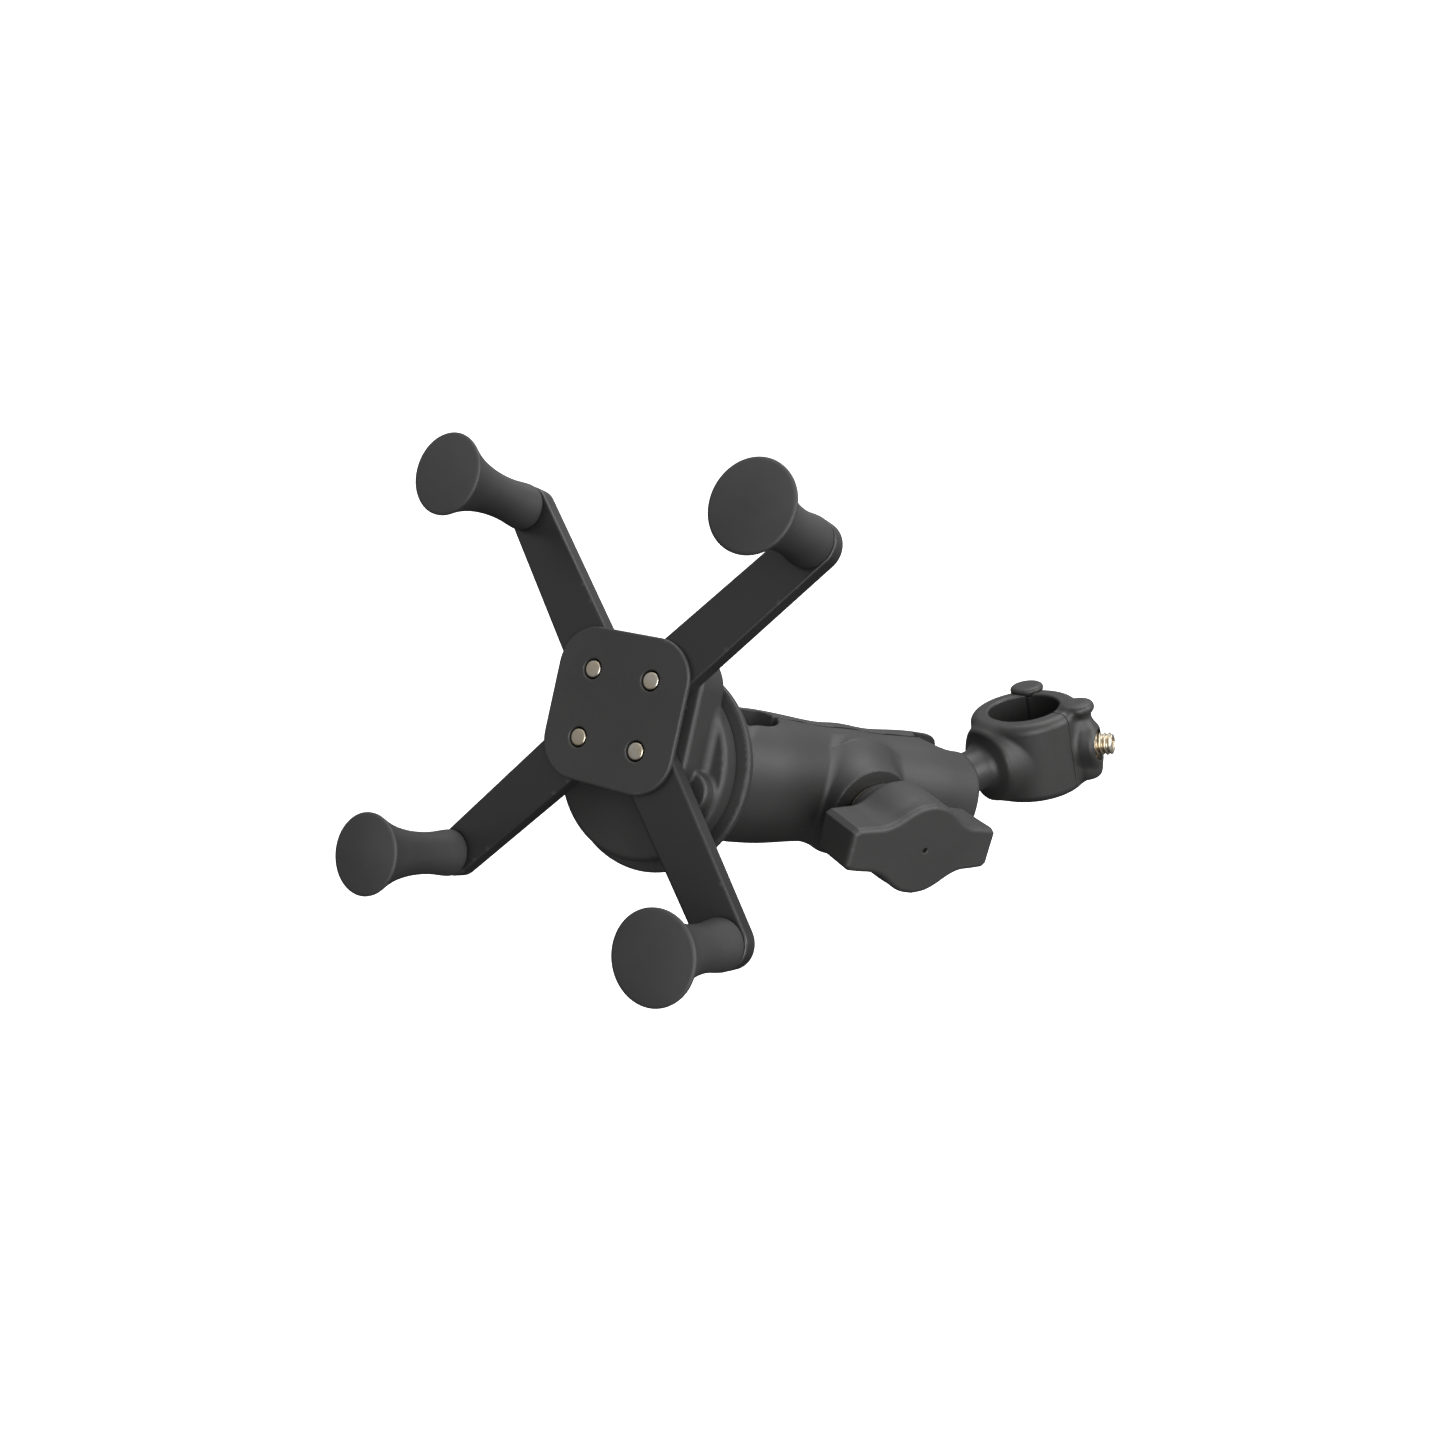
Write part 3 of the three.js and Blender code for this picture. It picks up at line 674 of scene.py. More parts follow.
def moulded_nylon(name, base, roughness):
    """Glass-filled nylon: a fine sparkled grain, faint flow marks and slightly polished edges,
    painted lighter as a highlight.
    """
    f = Finish(name)
    grain = f.noise(2600, 2.0, 0.6)
    flow = f.noise(38, 4.0, 0.55)
    patches = f.noise(9, 2.0, 0.5)
    edge_sheen = f.ramp(f.node("ShaderNodeNewGeometry", output="Pointiness"), 0.515, 0.57)
    shade = f.mix(f.ramp(flow, 0.3, 0.7), tone(base, 0.86), tone(base, 1.12))
    shade = f.mix(f.ramp(grain, 0.62, 0.8) * 0.35, shade, tone(base, 2.2))
    # painted highlight: convex edges lightened towards 1.9 times the base colour; the same mask
    # lowers roughness for the real polish
    shade = f.mix(edge_sheen * 0.45, shade, tone(base, 1.9))
    rough = f.ramp(patches, 0.3, 0.7, roughness - 0.05, roughness + 0.05)
    rough = rough + f.ramp(grain, 0.3, 0.7, -0.03, 0.04) - edge_sheen * 0.08
    skin = f.bump(grain * 0.7 + flow * 0.6, 0.35, 0.00004)
    return f.done(Base_Color=shade, Roughness=rough, Normal=skin, IOR=1.53)


def soft_rubber(name, base, roughness, grit):
    """Moulded rubber: a satin skin with a very fine grit and a soft bloom."""
    f = Finish(name)
    grain = f.noise(grit, 2.0, 0.5)
    bloom = f.noise(55, 4.0, 0.6)
    shade = f.mix(f.ramp(bloom, 0.3, 0.7), tone(base, 0.85), tone(base, 1.2))
    rough = f.ramp(bloom, 0.3, 0.7, roughness - 0.04, roughness + 0.06)
    skin = f.bump(grain, 0.3, 0.00003)
    return f.done(Base_Color=shade, Roughness=rough, Normal=skin, IOR=1.5)


def coated_steel(name, base):
    """Powder-coated steel: a glossy black coat with a low orange peel, and a painted highlight
    lightening its convex edges.
    """
    f = Finish(name)
    peel = f.noise(520, 2.0, 0.5)
    dust = f.noise(70, 5.0, 0.6)
    edge_sheen = f.ramp(f.node("ShaderNodeNewGeometry", output="Pointiness"), 0.52, 0.6)
    # painted highlight: convex edges lightened towards 3.5 times the base colour
    shade = f.mix(edge_sheen * 0.3, tone(base, 1.0), tone(base, 3.5))
    rough = f.ramp(dust, 0.35, 0.75, 0.28, 0.42)
    skin = f.bump(peel, 0.25, 0.00005)
    return f.done(Base_Color=shade, Roughness=rough, Normal=skin, IOR=1.5)


def plain_metal(name, base, roughness, tint):
    """Turned metal: fine tool lines round the surface, a little tarnish in patches."""
    f = Finish(name)
    lines = f.noise(900, 3.0, 0.7)
    tarnish = f.noise(260, 4.0, 0.6)
    shade = f.mix(f.ramp(tarnish, 0.35, 0.7), tone(base, 1.0), (*tint, 1.0))
    rough = f.ramp(lines, 0.3, 0.7, roughness - 0.06, roughness + 0.08)
    skin = f.bump(lines, 0.2, 0.00002)
    return f.done(Base_Color=shade, Roughness=rough, Normal=skin, Metallic=1.0)


FINISHES = {}


def finish(slot):
    """The material of a slot, made once."""
    if slot not in FINISHES:
        c = settings("colours")
        makers = {
            "nylon": lambda: moulded_nylon("nylon_finish", c.nylon, 0.52),
            "clamp_nylon": lambda: moulded_nylon("clamp_nylon_finish", c.clamp, 0.44),
            "knob_nylon": lambda: moulded_nylon("knob_nylon_finish", c.knob, 0.5),
            "cap_rubber": lambda: soft_rubber("cap_rubber_finish", c.cap, 0.5, 3200),
            "ball_rubber": lambda: soft_rubber("ball_rubber_finish", c.ball, 0.62, 2200),
            "coated_steel": lambda: coated_steel("coated_steel_finish", c.coated),
            "steel": lambda: plain_metal("steel_finish", c.steel, 0.28, (0.62, 0.5, 0.32)),
            "brass": lambda: plain_metal("brass_finish", c.brass, 0.36, (0.45, 0.3, 0.14)),
        }
        FINISHES[slot] = makers[slot]()
    return FINISHES[slot]


# ---- the clamp ----


def along(azimuth, x, y, z):
    """How far a point lies along a level line from the bore axis, and how far from that line."""
    c, s = polar(1.0, azimuth)
    return x * c + y * s, np.hypot(-x * s + y * c, z)


def away(x, y, spot):
    """How far a point lies from an upright line through a spot."""
    return np.hypot(x - spot[0], y - spot[1])


def sleeve_form(x, y, z, sizes):
    """The round sleeve with soft rims."""
    half = mm(sizes.half)
    return bar(np.hypot(x, y), z, mm(sizes.sleeve), -half, half, mm(sizes.rim))


PARTING = -60.0  # azimuth of the joint between body and gate
KNUCKLE = 3.4  # radius of the hinge knuckles
CLEARANCE = 0.4  # gap round a knuckle
TONGUE_END = -18.0  # azimuth where the body's tongue under the gate ends


class ClampBody(bpy.types.Operator):
    """Bar clamp body with its saddle, neck and ball core, and the hinge pin"""

    bl_idname = "mount.clamp_body"
    bl_label = "Clamp body"

    def execute(self, context):
        sizes, arm = settings("clamp"), settings("arm")
        bore, half, neck_radius = mm(sizes.bore), mm(sizes.half), mm(sizes.neck)
        neck_profile = curved(
            [
                (9.6, 14.2), (9.2, 15.3), (8.0, 16.2), (6.9, 17.0), (6.2, 18.2),
                (neck_radius, 19.8), (neck_radius, 24.0),
            ],
            4,
        )
        neck_profile = np.concatenate(
            [[(-5, 12.0), (9.6, 12.0)], neck_profile, [(neck_radius, 34.0), (-5, 34.0)]]
        )

        def form(x, y, z):
            r = np.hypot(x, y)
            reach, off = along(NECK_AZIMUTH, x, y, z)
            ring = sector(x, y, PARTING, HINGE_AZIMUTH + 0.1)
            body = cut(sleeve_form(x, y, z, sizes), ring, 0.08)
            knuckle = bar(away(x, y, HINGE), z, KNUCKLE, 0.7 - half, half - 0.7, 0.8)
            body = join(body, knuckle, 1.2)
            saddle = meet(off - mm(sizes.saddle), r - mm(sizes.sleeve) - 1.8, 1.2)
            saddle = np.maximum(saddle, 4.0 - reach)
            body = join(body, saddle, 1.5)
            body = join(body, outline(off, reach, neck_profile), 1.4)
            body = join(body, np.hypot(off, reach - NECK_REACH) - mm(arm.core), 0.8)
            tongue = np.maximum(
                meet(np.abs(r - 10.4) - 0.9, np.abs(z) - 7.5, 0.3),
                sector(x, y, PARTING - 8, TONGUE_END),
            )
            body = join(body, tongue, 0.2)
            body = cut(body, r - bore, 0.7)
            gap = bar(away(x, y, HINGE), z, KNUCKLE + CLEARANCE, -4.2, 4.2, 0.2)
            body = cut(body, gap, 0.2)
            screw_reach, screw_off = along(SCREW_AZIMUTH, x, y, z)
            return cut(body, bar(screw_off, screw_reach, 3.6, 5, 13.5), 0.2)

        surface = level_surface(form, (-48, -25, -13), (17, 19, 13), 0.36)
        add_piece("clamp_body", "clamp", "clamp_nylon", CLAMP, surface)
        head = [(0, 0.2 - half), (1.5, 0.2 - half), (1.5, half - 0.8), (4.4, half - 0.8)]
        head += [(4.65, half - 0.3), (4.7, half + 0.7), (3.9, half + 1.35), (0, half + 1.5)]
        pin = moved(turned(eased(head, 0.8)), HINGE[0], HINGE[1])
        add_piece("gate_hinge_pin", "clamp", "clamp_nylon", CLAMP, pin)
        return {"FINISHED"}


class ClampGate(bpy.types.Operator):
    """Clamp gate with its knuckle, upright boss and screw collar, and the brass insert"""

    bl_idname = "mount.clamp_gate"
    bl_label = "Clamp gate"

    def execute(self, context):
        sizes = settings("clamp")
        bore = mm(sizes.bore)
        post_x, post_y = polar(14.6, SCREW_AZIMUTH)
        web_x, web_y = polar(12.6, 48)
        post = curved(
            [
                (3.0, -9.8), (4.4, -9.0), (5.0, -6.5), (5.2, -1.0), (4.9, 3.4), (4.2, 6.0),
                (3.5, 8.2), (3.7, 9.4), (4.4, 10.4), (4.5, 11.4), (3.9, 12.4), (2.2, 12.8),
            ],
            4,
        )
        post = np.concatenate([[(-4, -9.8)], post, [(-4, 12.8)]])

        def form(x, y, z):
            r = np.hypot(x, y)
            ring = sector(x, y, PARTING + 0.5, HINGE_AZIMUTH - 0.1)
            ring = meet(sleeve_form(x, y, z, sizes), ring, 0.08)
            upright = outline(np.hypot(x - post_x, y - post_y), z, post)
            reach, off = along(SCREW_AZIMUTH, x, y, z)
            collar = bar(off, reach, 5.7, 10.5, 19.2, 1.6)
            gate = join(ring, upright, 1.3)
            gate = join(gate, collar, 1.6)
            knuckle = bar(away(x, y, HINGE), z, KNUCKLE, -3.9, 3.9, 0.3)
            t = np.clip(
                ((x - HINGE[0]) * (web_x - HINGE[0]) + (y - HINGE[1]) * (web_y - HINGE[1]))
                / ((web_x - HINGE[0]) ** 2 + (web_y - HINGE[1]) ** 2),
                0,
                1,
            )
            web = np.hypot(
                x - HINGE[0] - t * (web_x - HINGE[0]), y - HINGE[1] - t * (web_y - HINGE[1])
            ) - (3.4 - 1.1 * t)
            web = meet(web, np.abs(z) - 3.9, 0.2)
            clear = away(x, y, HINGE) - KNUCKLE - CLEARANCE
            gate = cut(gate, np.maximum(clear, 3.9 - np.abs(z)), 0.2)
            gate = join(join(gate, web, 0.4), knuckle, 0.2)
            gate = cut(gate, r - bore, 0.7)
            seat = away(x, y, HINGE) - 4.8
            gate = cut(gate, np.maximum(seat, mm(sizes.half) - 0.9 - z), 0.1)
            pocket = np.maximum(
                np.maximum(r - 11.6, np.abs(z) - 7.8), sector(x, y, PARTING - 20, TONGUE_END + 2)
            )
            gate = cut(gate, pocket, 0.1)
            gate = cut(gate, bar(off, reach, 3.5, 8, 24), 0.1)
            return cut(gate, bar(off, reach, 4.5, 14.2, 24), 0.35)

        surface = level_surface(form, (2, -15, -12.5), (21, 19, 13.5), 0.3)
        add_piece("clamp_gate", "gate", "clamp_nylon", CLAMP, surface)
        ring = [(3.5, 14.5), (4.3, 14.5), (4.3, 18.4), (3.5, 18.4), (3.5, 14.5)]
        add_piece("gate_insert", "gate", "brass", SCREW_LINE, turned(eased(ring, 0.15)))
        return {"FINISHED"}


class ClampScrew(bpy.types.Operator):
    """Clamp screw with its helical thread and the pad on its tip"""

    bl_idname = "mount.clamp_screw"
    bl_label = "Clamp screw"

    def execute(self, context):
        screw = threaded(THREAD_RADIUS, 0.55, PITCH, 13.6, 23.0, recess=1.55)
        add_piece("clamp_screw", "screw", "steel", SCREW_LINE, screw)
        pad = eased([(0, 11.9), (3.1, 11.9), (3.1, 13.3), (0, 13.3)], 0.3)
        add_piece("screw_pad", "pad", "ball_rubber", SCREW_LINE, turned(pad))
        return {"FINISHED"}


# ---- balls and arm ----


class BallJackets(bpy.types.Operator):
    """Rubber jackets of the two balls"""

    bl_idname = "mount.ball_jackets"
    bl_label = "Ball jackets"

    def execute(self, context):
        arm, clamp = settings("arm"), settings("clamp")
        outer, inner, mouth = mm(arm.ball), mm(arm.core) + 0.7, mm(clamp.neck) + 0.4
        over = np.linspace(-np.pi / 2, np.arccos(mouth / outer), 60)
        under = np.linspace(np.arccos(mouth / inner), -np.pi / 2, 40)
        profile = np.concatenate(
            [
                np.stack([outer * np.cos(over), outer * np.sin(over)], -1),
                np.stack([inner * np.cos(under), inner * np.sin(under)], -1),
            ]
        )
        profile[[0, -1], 0] = 0
        jacket = turned(profile, 96)
        towards_clamp = Place(BAR_BALL, -NECK_LINE.axes[2], np.array([0.0, 0.0, 1.0]))
        add_piece("bar_ball_jacket", "bar_ball", "ball_rubber", towards_clamp, jacket)
        add_piece("cradle_ball_jacket", "cradle_ball", "ball_rubber", CRADLE, jacket)
        return {"FINISHED"}


class ArmShells(bpy.types.Operator):
    """Front and rear shells of the double socket arm"""

    bl_idname = "mount.arm_shells"
    bl_label = "Arm shells"

    def execute(self, context):
        s = settings("arm")
        face, ball = mm(s.boss), mm(s.ball) + 0.3
        front_boss = curved(
            [(15.8, 9.0), (14.0, 11.0), (12.6, 13.2), (11.7, 15.4), (11.2, face - 0.6)], 4
        )
        front_boss = np.concatenate(
            [[(-5, 5), (15.8, 5)], front_boss, [(10.8, face), (-5, face)]]
        )
        rear_boss = [(-5, 5), (12.6, 5), (11.8, 11), (10.5, 14.4), (9.7, 15.3), (-5, 15.3)]

        def trough(x, y, z):
            share = np.abs(x - MIDDLE) / (ARM_LENGTH / 2)
            blend = smooth((share - 0.1) / 0.75)
            crest = np.exp(-(((x - MIDDLE) / 6.5) ** 2))
            tall = mm(s.waist_height) + mm(s.height - s.waist_height) * blend + 0.7 * crest
            deep = mm(s.waist_depth) + mm(s.depth - s.waist_depth) * blend + 1.2 * crest
            full = (np.abs(y / tall) ** 2.2 + np.abs(z / deep) ** 2.2) ** (1 / 2.2)
            off = np.hypot(y, z)
            section = np.where(full < 0.2, -9.0, off * (1 - 1 / np.maximum(full, 0.05)))
            ends = bar(np.abs(y), x, mm(s.height), -ARM_LENGTH - mm(s.rim), mm(s.rim), 7.0)
            return meet(meet(section, ends, 1.8), mm(s.seam) - z, 0.5)

        def hollows(form, x, y, z):
            for centre, side in ((0.0, 1.0), (-ARM_LENGTH, -1.0)):
                out = (x - centre) * side
                slot = np.hypot(np.minimum(out + 2.2, 0), z) - 6.6
                form = cut(form, np.maximum(slot, -y), 0.7)
                form = cut(form, np.sqrt((x - centre) ** 2 + y * y + z * z) - ball, 0.5)
            r = np.hypot(x - MIDDLE, y)
            form = cut(form, bar(r, z, 7.0, -5, 8), 0.2)
            return cut(form, r - 3.6, 0.3)

        def front(x, y, z):
            r = np.hypot(x - MIDDLE, y)
            form = join(trough(x, y, z), outline(r, z, front_boss), 1.2)
            return hollows(form, x, y, z)

        def rear(x, y, z):
            z = -z
            r = np.hypot(x - MIDDLE, y)
            form = join(trough(x, y, z), outline(r, z, rear_boss), 1.2)
            form = cut(form, np.maximum(hexagon(x - MIDDLE, y, 5.9), 11.2 - z), 0.3)
            return hollows(form, x, y, z)

        low, high = -ARM_LENGTH - mm(s.rim) - 1.2, mm(s.rim) + 1.2
        surface = level_surface(front, (low, -18, -0.5), (high, 18, face + 1.2), 0.42)
        add_piece("arm_front_shell", "front_shell", "nylon", ARM, surface)
        surface = level_surface(rear, (low, -18, -17.6), (high, 18, 0.5), 0.42)
        add_piece("arm_rear_shell", "arm", "nylon", ARM, surface)
        return {"FINISHED"}


class ArmBolt(bpy.types.Operator):
    """Arm bolt with its hexagonal head and thread, the arm spring and the thrust washer"""

    bl_idname = "mount.arm_bolt"
    bl_label = "Arm bolt"

    def execute(self, context):
        face = mm(settings("arm").boss)
        shank = turned(eased([(0, -12), (3.1, -12), (3.1, 20.2), (0, 20.2)], 0.1))
        thread = threaded(THREAD_RADIUS, 0.5, PITCH, 19.9, 33.2)
        bolt = together(six_sided(6.4, -14.9, -11.5), shank, thread)
        add_piece("arm_bolt", "arm", "steel", ARM, moved(bolt, MIDDLE, 0))
        spring = moved(coil(5.2, 0.6, -7.0, 7.0, 4.0), MIDDLE, 0)
        add_piece("arm_spring", "arm", "steel", ARM, spring)
        low, high = face + 0.3, face + 1.3
        ring = eased([(3.5, low), (7.3, low), (7.3, high), (3.5, high), (3.5, low)], 0.2)
        add_piece("thrust_washer", "front_shell", "steel", ARM, moved(turned(ring), MIDDLE, 0))
        return {"FINISHED"}


class WingKnob(bpy.types.Operator):
    """Wing knob and its threaded insert"""

    bl_idname = "mount.wing_knob"
    bl_label = "Wing knob"

    def execute(self, context):
        s = settings("knob")
        reach, bulge, front, back = mm(s.reach), mm(s.bulge), mm(s.front), mm(s.back)
        quarter = curved(
            [
                (0, bulge), (3.5, bulge - 0.6), (6.5, bulge - 2.1), (9.5, bulge - 4.2),
                (12.5, bulge - 5.5), (16.0, bulge - 5.8), (19.4, bulge - 6.1),
            ],
            4,
        )
        edge = np.concatenate([quarter, [(reach, bulge - 7.2)]])
        plan = np.concatenate(
            [edge[::-1], edge[1:] * (-1, 1), (edge * (-1, -1))[::-1], (edge * (1, -1))[1:]]
        )
        c, sn = np.cos(s.turn), np.sin(s.turn)
        hub_profile = curved(
            [
                (mm(s.hub) - 2.0, 19.6), (mm(s.hub) - 1.3, 20.4), (mm(s.hub) - 0.7, 24.0),
                (mm(s.hub) + 0.1, 29.0), (mm(s.hub) - 0.4, 34.0), (7.0, 36.6),
            ],
            4,
        )
        hub_profile = np.concatenate([[(-5, 19.6)], hub_profile, [(-5, 36.6)]])

        def form(x, y, z):
            dx = x - MIDDLE
            px, py = dx * c + y * sn, -dx * sn + y * c
            flat = outline(px, py, plan)
            crown = front - 0.001 * px**2
            slope = back + 1.6 * smooth(np.abs(px) / reach)
            wings = meet(meet(flat, z - crown, 1.3), slope - z, 1.6)
            r = np.hypot(px, py)
            knob = join(wings, outline(r, z, hub_profile), 3.0)
            knob = cut(knob, bar(r, z, 5.6, 10, 34.4), 0.3)
            return cut(knob, bar(r, z, 0.6, front - 1.6, front + 2), 0.15)

        surface = level_surface(
            form, (MIDDLE - 22.5, -13.5, 18.8), (MIDDLE + 22.5, 13.5, front + 1.0), 0.32
        )
        add_piece("wing_knob", "knob", "knob_nylon", ARM, surface)
        ring = eased([(3.5, 19.9), (5.3, 19.9), (5.3, 34.0), (3.5, 34.0), (3.5, 19.9)], 0.2)
        add_piece("knob_insert", "knob", "brass", ARM, moved(turned(ring), MIDDLE, 0))
        return {"FINISHED"}


# ---- cradle ----


SCREW_SPOTS = ((-15.0, -3.0), (15.0, -3.0))


class BallBase(bpy.types.Operator):
    """Round ball base behind the cradle and its two screws"""

    bl_idname = "mount.ball_base"
    bl_label = "Ball base"

    def execute(self, context):
        s, arm, clamp = settings("cradle"), settings("arm"), settings("clamp")
        base, neck = mm(s.base), mm(clamp.neck)
        dome = curved(
            [
                (neck, 17.0), (neck + 0.4, 19.0), (7.6, 21.4), (10.4, 23.2), (14.5, 24.7),
                (18.4, 26.8), (21.4, 29.4), (base - 0.3, 32.0), (base, 33.2),
            ],
            5,
        )
        dome = np.concatenate(
            [[(-6, 8.0), (neck, 8.0)], dome, [(base - 0.25, 33.8), (base - 0.8, 34.0), (-6, 34.0)]]
        )

        def form(x, y, z):
            r = np.hypot(x, y)
            body = join(outline(r, z, dome), np.hypot(r, z) - mm(arm.core), 0.8)
            for sx, sy in SCREW_SPOTS:
                off = away(x, y, (sx, sy))
                body = cut(body, bar(off, z, 1.9, 20, 40), 0.1)
                body = cut(body, bar(off, z, 3.5, 15, 29.2), 0.3)
            return body

        surface = level_surface(form, (-24.2, -24.2, -11.6), (24.2, 24.2, 35.2), 0.42)
        add_piece("ball_base", "cradle", "nylon", CRADLE, surface)
        shank = turned(eased([(0, 28.0), (1.6, 28.0), (1.6, 41.2), (0, 41.2)], 0.1), 24)
        head = eased([(3.1, 28.9), (3.1, 27.3), (2.8, 26.9), (0, 26.9)], 0.25)
        head = turned(np.concatenate([[(0, 28.9)], head]), 48)
        points = head[0].copy()
        drive = np.hypot(points[:, 0], points[:, 1]) < 1e-6
        points[drive & (points[:, 2] < 27.5), 2] += 0.9
        for i, (sx, sy) in enumerate(SCREW_SPOTS, 1):
            screw = moved(together((points, head[1]), shank), sx, sy)
            add_piece(f"base_screw_{i}", "cradle", "steel", CRADLE, screw)
        return {"FINISHED"}


class Hub(bpy.types.Operator):
    """Square hub of the cradle: back, cover, pivot pins and their springs"""

    bl_idname = "mount.hub"
    bl_label = "Hub"

    def execute(self, context):
        s = settings("cradle")
        half, hx, hy = mm(s.hub_half), *HUB_CENTRE

        def back(x, y, z):
            foot = bar(np.hypot(x, y), z, 20.5, 34.3, 39.6, 1.2)
            deck = meet(
                rounded_square(x - hx, y - hy, half, 8.5), np.abs(z - 42.6) - 4.7, 1.0
            )
            body = join(foot, deck, 1.8)
            stem = bar(away(x, y, HUB_CENTRE), z, 1.65, 46.0, 51.4, 0.2)
            body = join(body, stem, 0.4)
            for sx, sy in SCREW_SPOTS:
                off = away(x, y, (sx, sy))
                body = join(body, bar(off, z, 4.2, 38.0, 43.2, 0.7), 0.9)
                body = cut(body, bar(off, z, 1.9, 30, 41.6), 0.1)
            for px, py in PIVOTS.values():
                off = away(x, y, (px, py))
                body = cut(body, bar(off, z, 5.2, 42.6, 60), 0.25)
                body = cut(body, bar(off, z, 2.1, 40.6, 60), 0.1)
            return body

        def cover(x, y, z):
            plan = rounded_square(x - hx, y - hy, half, 8.5)
            plate = meet(plan, np.abs(z - 52.3) - 0.6, 0.45)
            for px, py in PIVOTS.values():
                plate = cut(plate, away(x, y, (px, py)) - 2.1, 0.25)
            return plate

        surface = level_surface(back, (-21.8, -21.8, 33.2), (21.8, hy + half + 1.4, 52.6), 0.4)
        add_piece("hub_back", "cradle", "nylon", CRADLE, surface)
        surface = level_surface(
            cover, (hx - half - 1, hy - half - 1, 51.0), (hx + half + 1, hy + half + 1, 53.6), 0.25
        )
        add_piece("hub_cover", "cradle", "nylon", CRADLE, surface)
        for tag, (px, py) in PIVOTS.items():
            pin = eased([(0, 40.9), (1.8, 40.9), (1.8, 52.8), (0, 52.9)], 0.35)
            add_piece(
                f"pivot_pin_{tag}", "cradle", "steel", CRADLE, moved(turned(pin, 40), px, py)
            )
            spring = moved(coil(3.6, mm(s.wire), 43.2, 46.9, 2.5), px, py)
            add_piece(f"arm_spring_{tag}", "cradle", "steel", CRADLE, spring)
        return {"FINISHED"}


def gear_plan(phase, arm_angle):
    """Outline of the toothed sector round a pivot, smooth towards the arm."""
    corners = []
    for i in range(12):
        centre = phase + 30 * i
        turn = abs((centre - arm_angle + 540) % 360 - 180)
        steps = (
            [(5.85, -8.4), (7.0, -5.4), (7.8, -2.8), (7.8, 2.8), (7.0, 5.4), (5.85, 8.4)]
            if turn > 72
            else [(5.85, -8.4), (5.85, 8.4)]
        )
        corners += [polar(r, centre + a) for r, a in steps]
    return np.array(corners)


class Grips(bpy.types.Operator):
    """The four grips: coated arm, post and rubber cap of each"""

    bl_idname = "mount.grips"
    bl_label = "Grips"

    def execute(self, context):
        s = settings("cradle")
        cap, face = mm(s.cap), mm(s.cap_face)
        flare = curved(
            [
                (4.3, 51.75), (4.95, 52.6), (4.85, 54.5), (4.5, 57.5), (4.4, 61.0), (4.7, 65.0),
                (5.5, 69.0), (6.7, 72.4), (7.9, 74.9), (cap, 75.4),
            ],
            6,
        )
        dome_r = np.linspace(cap - 0.12, 0, 16)
        dome = np.stack([dome_r, face - 0.25 + 0.65 * (1 - (dome_r / cap) ** 2)], -1)
        bore = [(0, 71.3), (2.2, 71.3), (2.2, 51.7), (4.0, 51.7)]
        profile = np.concatenate([bore, flare, [(cap + 0.02, 75.65)], dome])
        cap_surface = turned(profile, 96)
        for tag, (sx, sy) in TAGS.items():
            px, py = PIVOTS[tag]
            post_x, post_y = HUB_CENTRE[0] + sx * mm(s.post_x), HUB_CENTRE[1] + sy * mm(s.post_y)
            dx, dy = post_x - px, post_y - py
            reach = np.hypot(dx, dy)
            plan = gear_plan(0 if sx * sy > 0 else 15, np.degrees(np.arctan2(dy, dx)))

            def form(x, y, z, px=px, py=py, dx=dx, dy=dy, reach=reach, plan=plan):
                u = ((x - px) * dx + (y - py) * dy) / reach
                v = (-(x - px) * dy + (y - py) * dx) / reach
                t = np.clip(u / reach, 0, 1)
                link = np.hypot(u - t * reach, v) - (5.8 - 0.8 * t)
                flat = join(link, outline(x - px, y - py, plan), 0.3)
                body = meet(flat, np.abs(z - 49.5) - 1.9, 0.55)
                body = cut(body, away(x, y, (px, py)) - 2.2, 0.2)
                return cut(body, np.hypot(u - reach, v) - 2.1, 0.2)

            low = (min(px - 8.8, post_x - 6.2), min(py - 8.8, post_y - 6.2), 47.0)
            high = (max(px + 8.8, post_x + 6.2), max(py + 8.8, post_y + 6.2), 52.0)
            surface = level_surface(form, low, high, 0.28)
            body = "grip_" + tag
            add_piece(f"grip_arm_{tag}", body, "coated_steel", CRADLE, surface)
            post = eased(
                [(0, 46.0), (3.3, 46.0), (3.3, 47.3), (1.8, 47.3), (1.8, 71.0), (0, 71.0)], 0.3
            )
            add_piece(
                f"post_pin_{tag}", body, "steel", CRADLE, moved(turned(post, 40), post_x, post_y)
            )
            add_piece(
                f"grip_cap_{tag}", body, "cap_rubber", CRADLE, moved(cap_surface, post_x, post_y)
            )
        return {"FINISHED"}


# ---- stage ----


def area_light(name, size, energy, place, target):
    """A square soft light aimed at a point."""
    light = bpy.data.lights.new(name, "AREA")
    light.shape, light.size, light.energy = "SQUARE", size, energy
    holder = bpy.data.objects.new(name, light)
    bpy.context.scene.collection.objects.link(holder)
    holder.location = place
    aim = Vector(target) - Vector(place)
    holder.rotation_mode = "QUATERNION"
    holder.rotation_quaternion = aim.to_track_quat("-Z", "Y")
    return holder


LIGHTS = (
    ("top_light", 0.9, 6.5, (0.5, 0.3, 0.9)),
    ("front_light", 0.9, 11.0, (0.1, -1.2, 0.15)),
    ("side_light", 0.8, 9.0, (1.1, -0.6, 0.3)),
)


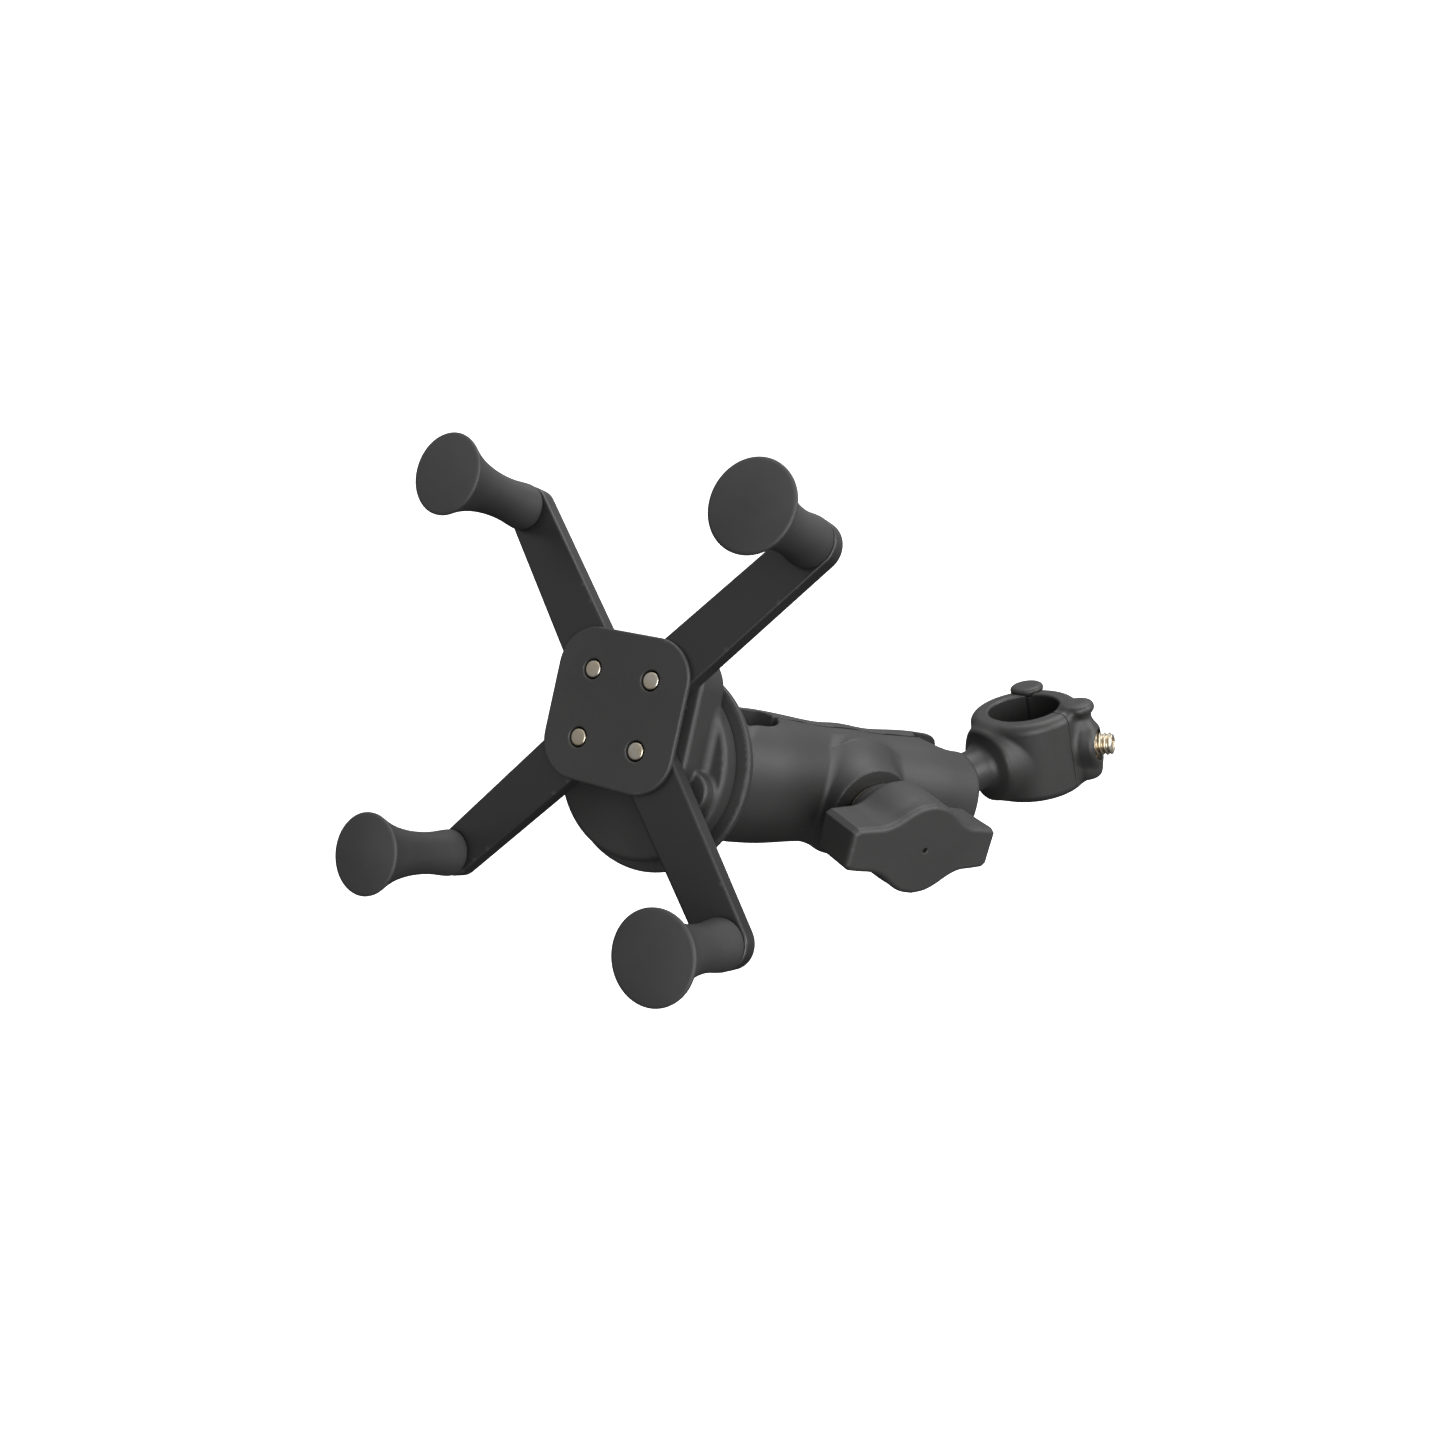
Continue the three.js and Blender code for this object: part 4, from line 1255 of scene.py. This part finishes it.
class Stage(bpy.types.Operator):
    """Pale floor that curves up all round, soft lights and the camera"""

    bl_idname = "mount.stage"
    bl_label = "Stage"

    def execute(self, context):
        s = settings("stage")
        scene = context.scene
        low, high = FRAME_BOX
        centre = (low + high) / 2
        floor_z, reach = low.z - s.drop, s.reach
        turn = np.linspace(0, np.pi / 2, 24)
        bend = 0.6
        arc = np.stack([reach - bend + bend * np.sin(turn), bend - bend * np.cos(turn)], -1)
        points, quads = turned(np.concatenate([[(0.0, 0.0)], arc, [(reach, 2.2)]]), 96)
        points = points + (centre.x, centre.y, floor_z)
        mesh = bpy.data.meshes.new("floor")
        mesh.from_pydata(points.tolist(), [], quads.tolist())
        weld(mesh)
        mesh.shade_smooth()
        f = Finish("floor_finish")
        mottle = f.ramp(f.noise(6, 2.0), 0.3, 0.7)
        paper = f.mix(mottle, tone(s.floor, 0.99), tone(s.floor, 1.0))
        glow = {"Emission_Color": paper, "Emission_Strength": 1.1}
        mesh.materials.append(f.done(Base_Color=paper, Roughness=0.9, **glow))
        floor = bpy.data.objects.new("floor", mesh)
        scene.collection.objects.link(floor)
        floor.visible_diffuse = floor.visible_glossy = floor.visible_shadow = False

        world = bpy.data.worlds.new("studio")
        world.use_nodes = True
        tree = world.node_tree
        sky = tree.nodes["Background"]
        place = tree.nodes.new("ShaderNodeTexCoord")
        slant = tree.nodes.new("ShaderNodeVectorMath")
        fall = tree.nodes.new("ShaderNodeMapRange")
        fall.inputs["From Min"].default_value, fall.inputs["From Max"].default_value = -0.6, 0.9
        fall.inputs["To Min"].default_value, fall.inputs["To Max"].default_value = 0.04, 0.75
        slant.operation = "DOT_PRODUCT"
        slant.inputs[1].default_value = (0.48, -0.12, 0.87)
        tree.links.new(place.outputs["Generated"], slant.inputs[0])
        tree.links.new(slant.outputs["Value"], fall.inputs["Value"])
        tree.links.new(fall.outputs["Result"], sky.inputs["Strength"])
        sky.inputs["Color"].default_value = (1, 1, 1, 1)
        scene.world = world
        for name, size, energy, shift in LIGHTS:
            place = [c + d for c, d in zip(centre, shift)]
            area_light(name, size, energy, place, tuple(centre))
        scene.view_settings.view_transform = "Standard"

        camera_data = bpy.data.cameras.new("camera")
        camera_data.sensor_width = 36.0
        camera_data.lens = s.lens * MM
        camera_data.shift_x, camera_data.shift_y = -0.00351, 0.00702
        camera_data.clip_start, camera_data.clip_end = 0.01, 20.0
        camera = bpy.data.objects.new("camera", camera_data)
        scene.collection.objects.link(camera)
        across = Vector((0.969, -0.083, -0.234)).normalized()
        behind = Vector((0.0, -0.943, 0.333)).normalized()
        upward = behind.cross(across).normalized()
        across = upward.cross(behind).normalized()
        turned_axes = Matrix((across, upward, behind)).transposed().to_4x4()
        camera.matrix_world = Matrix.Translation((-0.082943, -0.271415, 0.123038)) @ turned_axes
        scene.camera = camera
        return {"FINISHED"}


BUILDERS = (
    ClampBody,
    ClampGate,
    ClampScrew,
    BallJackets,
    ArmShells,
    ArmBolt,
    WingKnob,
    BallBase,
    Hub,
    Grips,
    Stage,
)
GROUPS = {
    "clamp": ClampSizes,
    "arm": ArmSizes,
    "knob": KnobSizes,
    "cradle": CradleSizes,
    "colours": FinishColours,
    "stage": StageSettings,
}


class MountPanel(bpy.types.Panel):
    """Lists the mount's pieces and their settings"""

    bl_idname = "VIEW3D_PT_phone_mount"
    bl_label = "Phone mount"
    bl_space_type = "VIEW_3D"
    bl_region_type = "UI"
    bl_category = "Mount"

    def draw(self, context):
        for builder in BUILDERS:
            self.layout.operator(builder.bl_idname)
        for name, group in GROUPS.items():
            box = self.layout.box()
            box.label(text=group.__doc__)
            for key in group.__annotations__:
                box.prop(settings(name), key)


def register():
    for group in GROUPS.values():
        bpy.utils.register_class(group)
    for name, group in GROUPS.items():
        setattr(bpy.types.Scene, "mount_" + name, PointerProperty(type=group))
    for builder in (*BUILDERS, MountPanel):
        bpy.utils.register_class(builder)


def unregister():
    for builder in (MountPanel, *reversed(BUILDERS)):
        bpy.utils.unregister_class(builder)
    for name, group in reversed(list(GROUPS.items())):
        delattr(bpy.types.Scene, "mount_" + name)
        bpy.utils.unregister_class(group)


def main():
    """Registers the classes and builds every piece."""
    register()
    for builder in BUILDERS:
        group, name = builder.bl_idname.split(".")
        getattr(getattr(bpy.ops, group), name)()


if __name__ == "__main__":
    main()
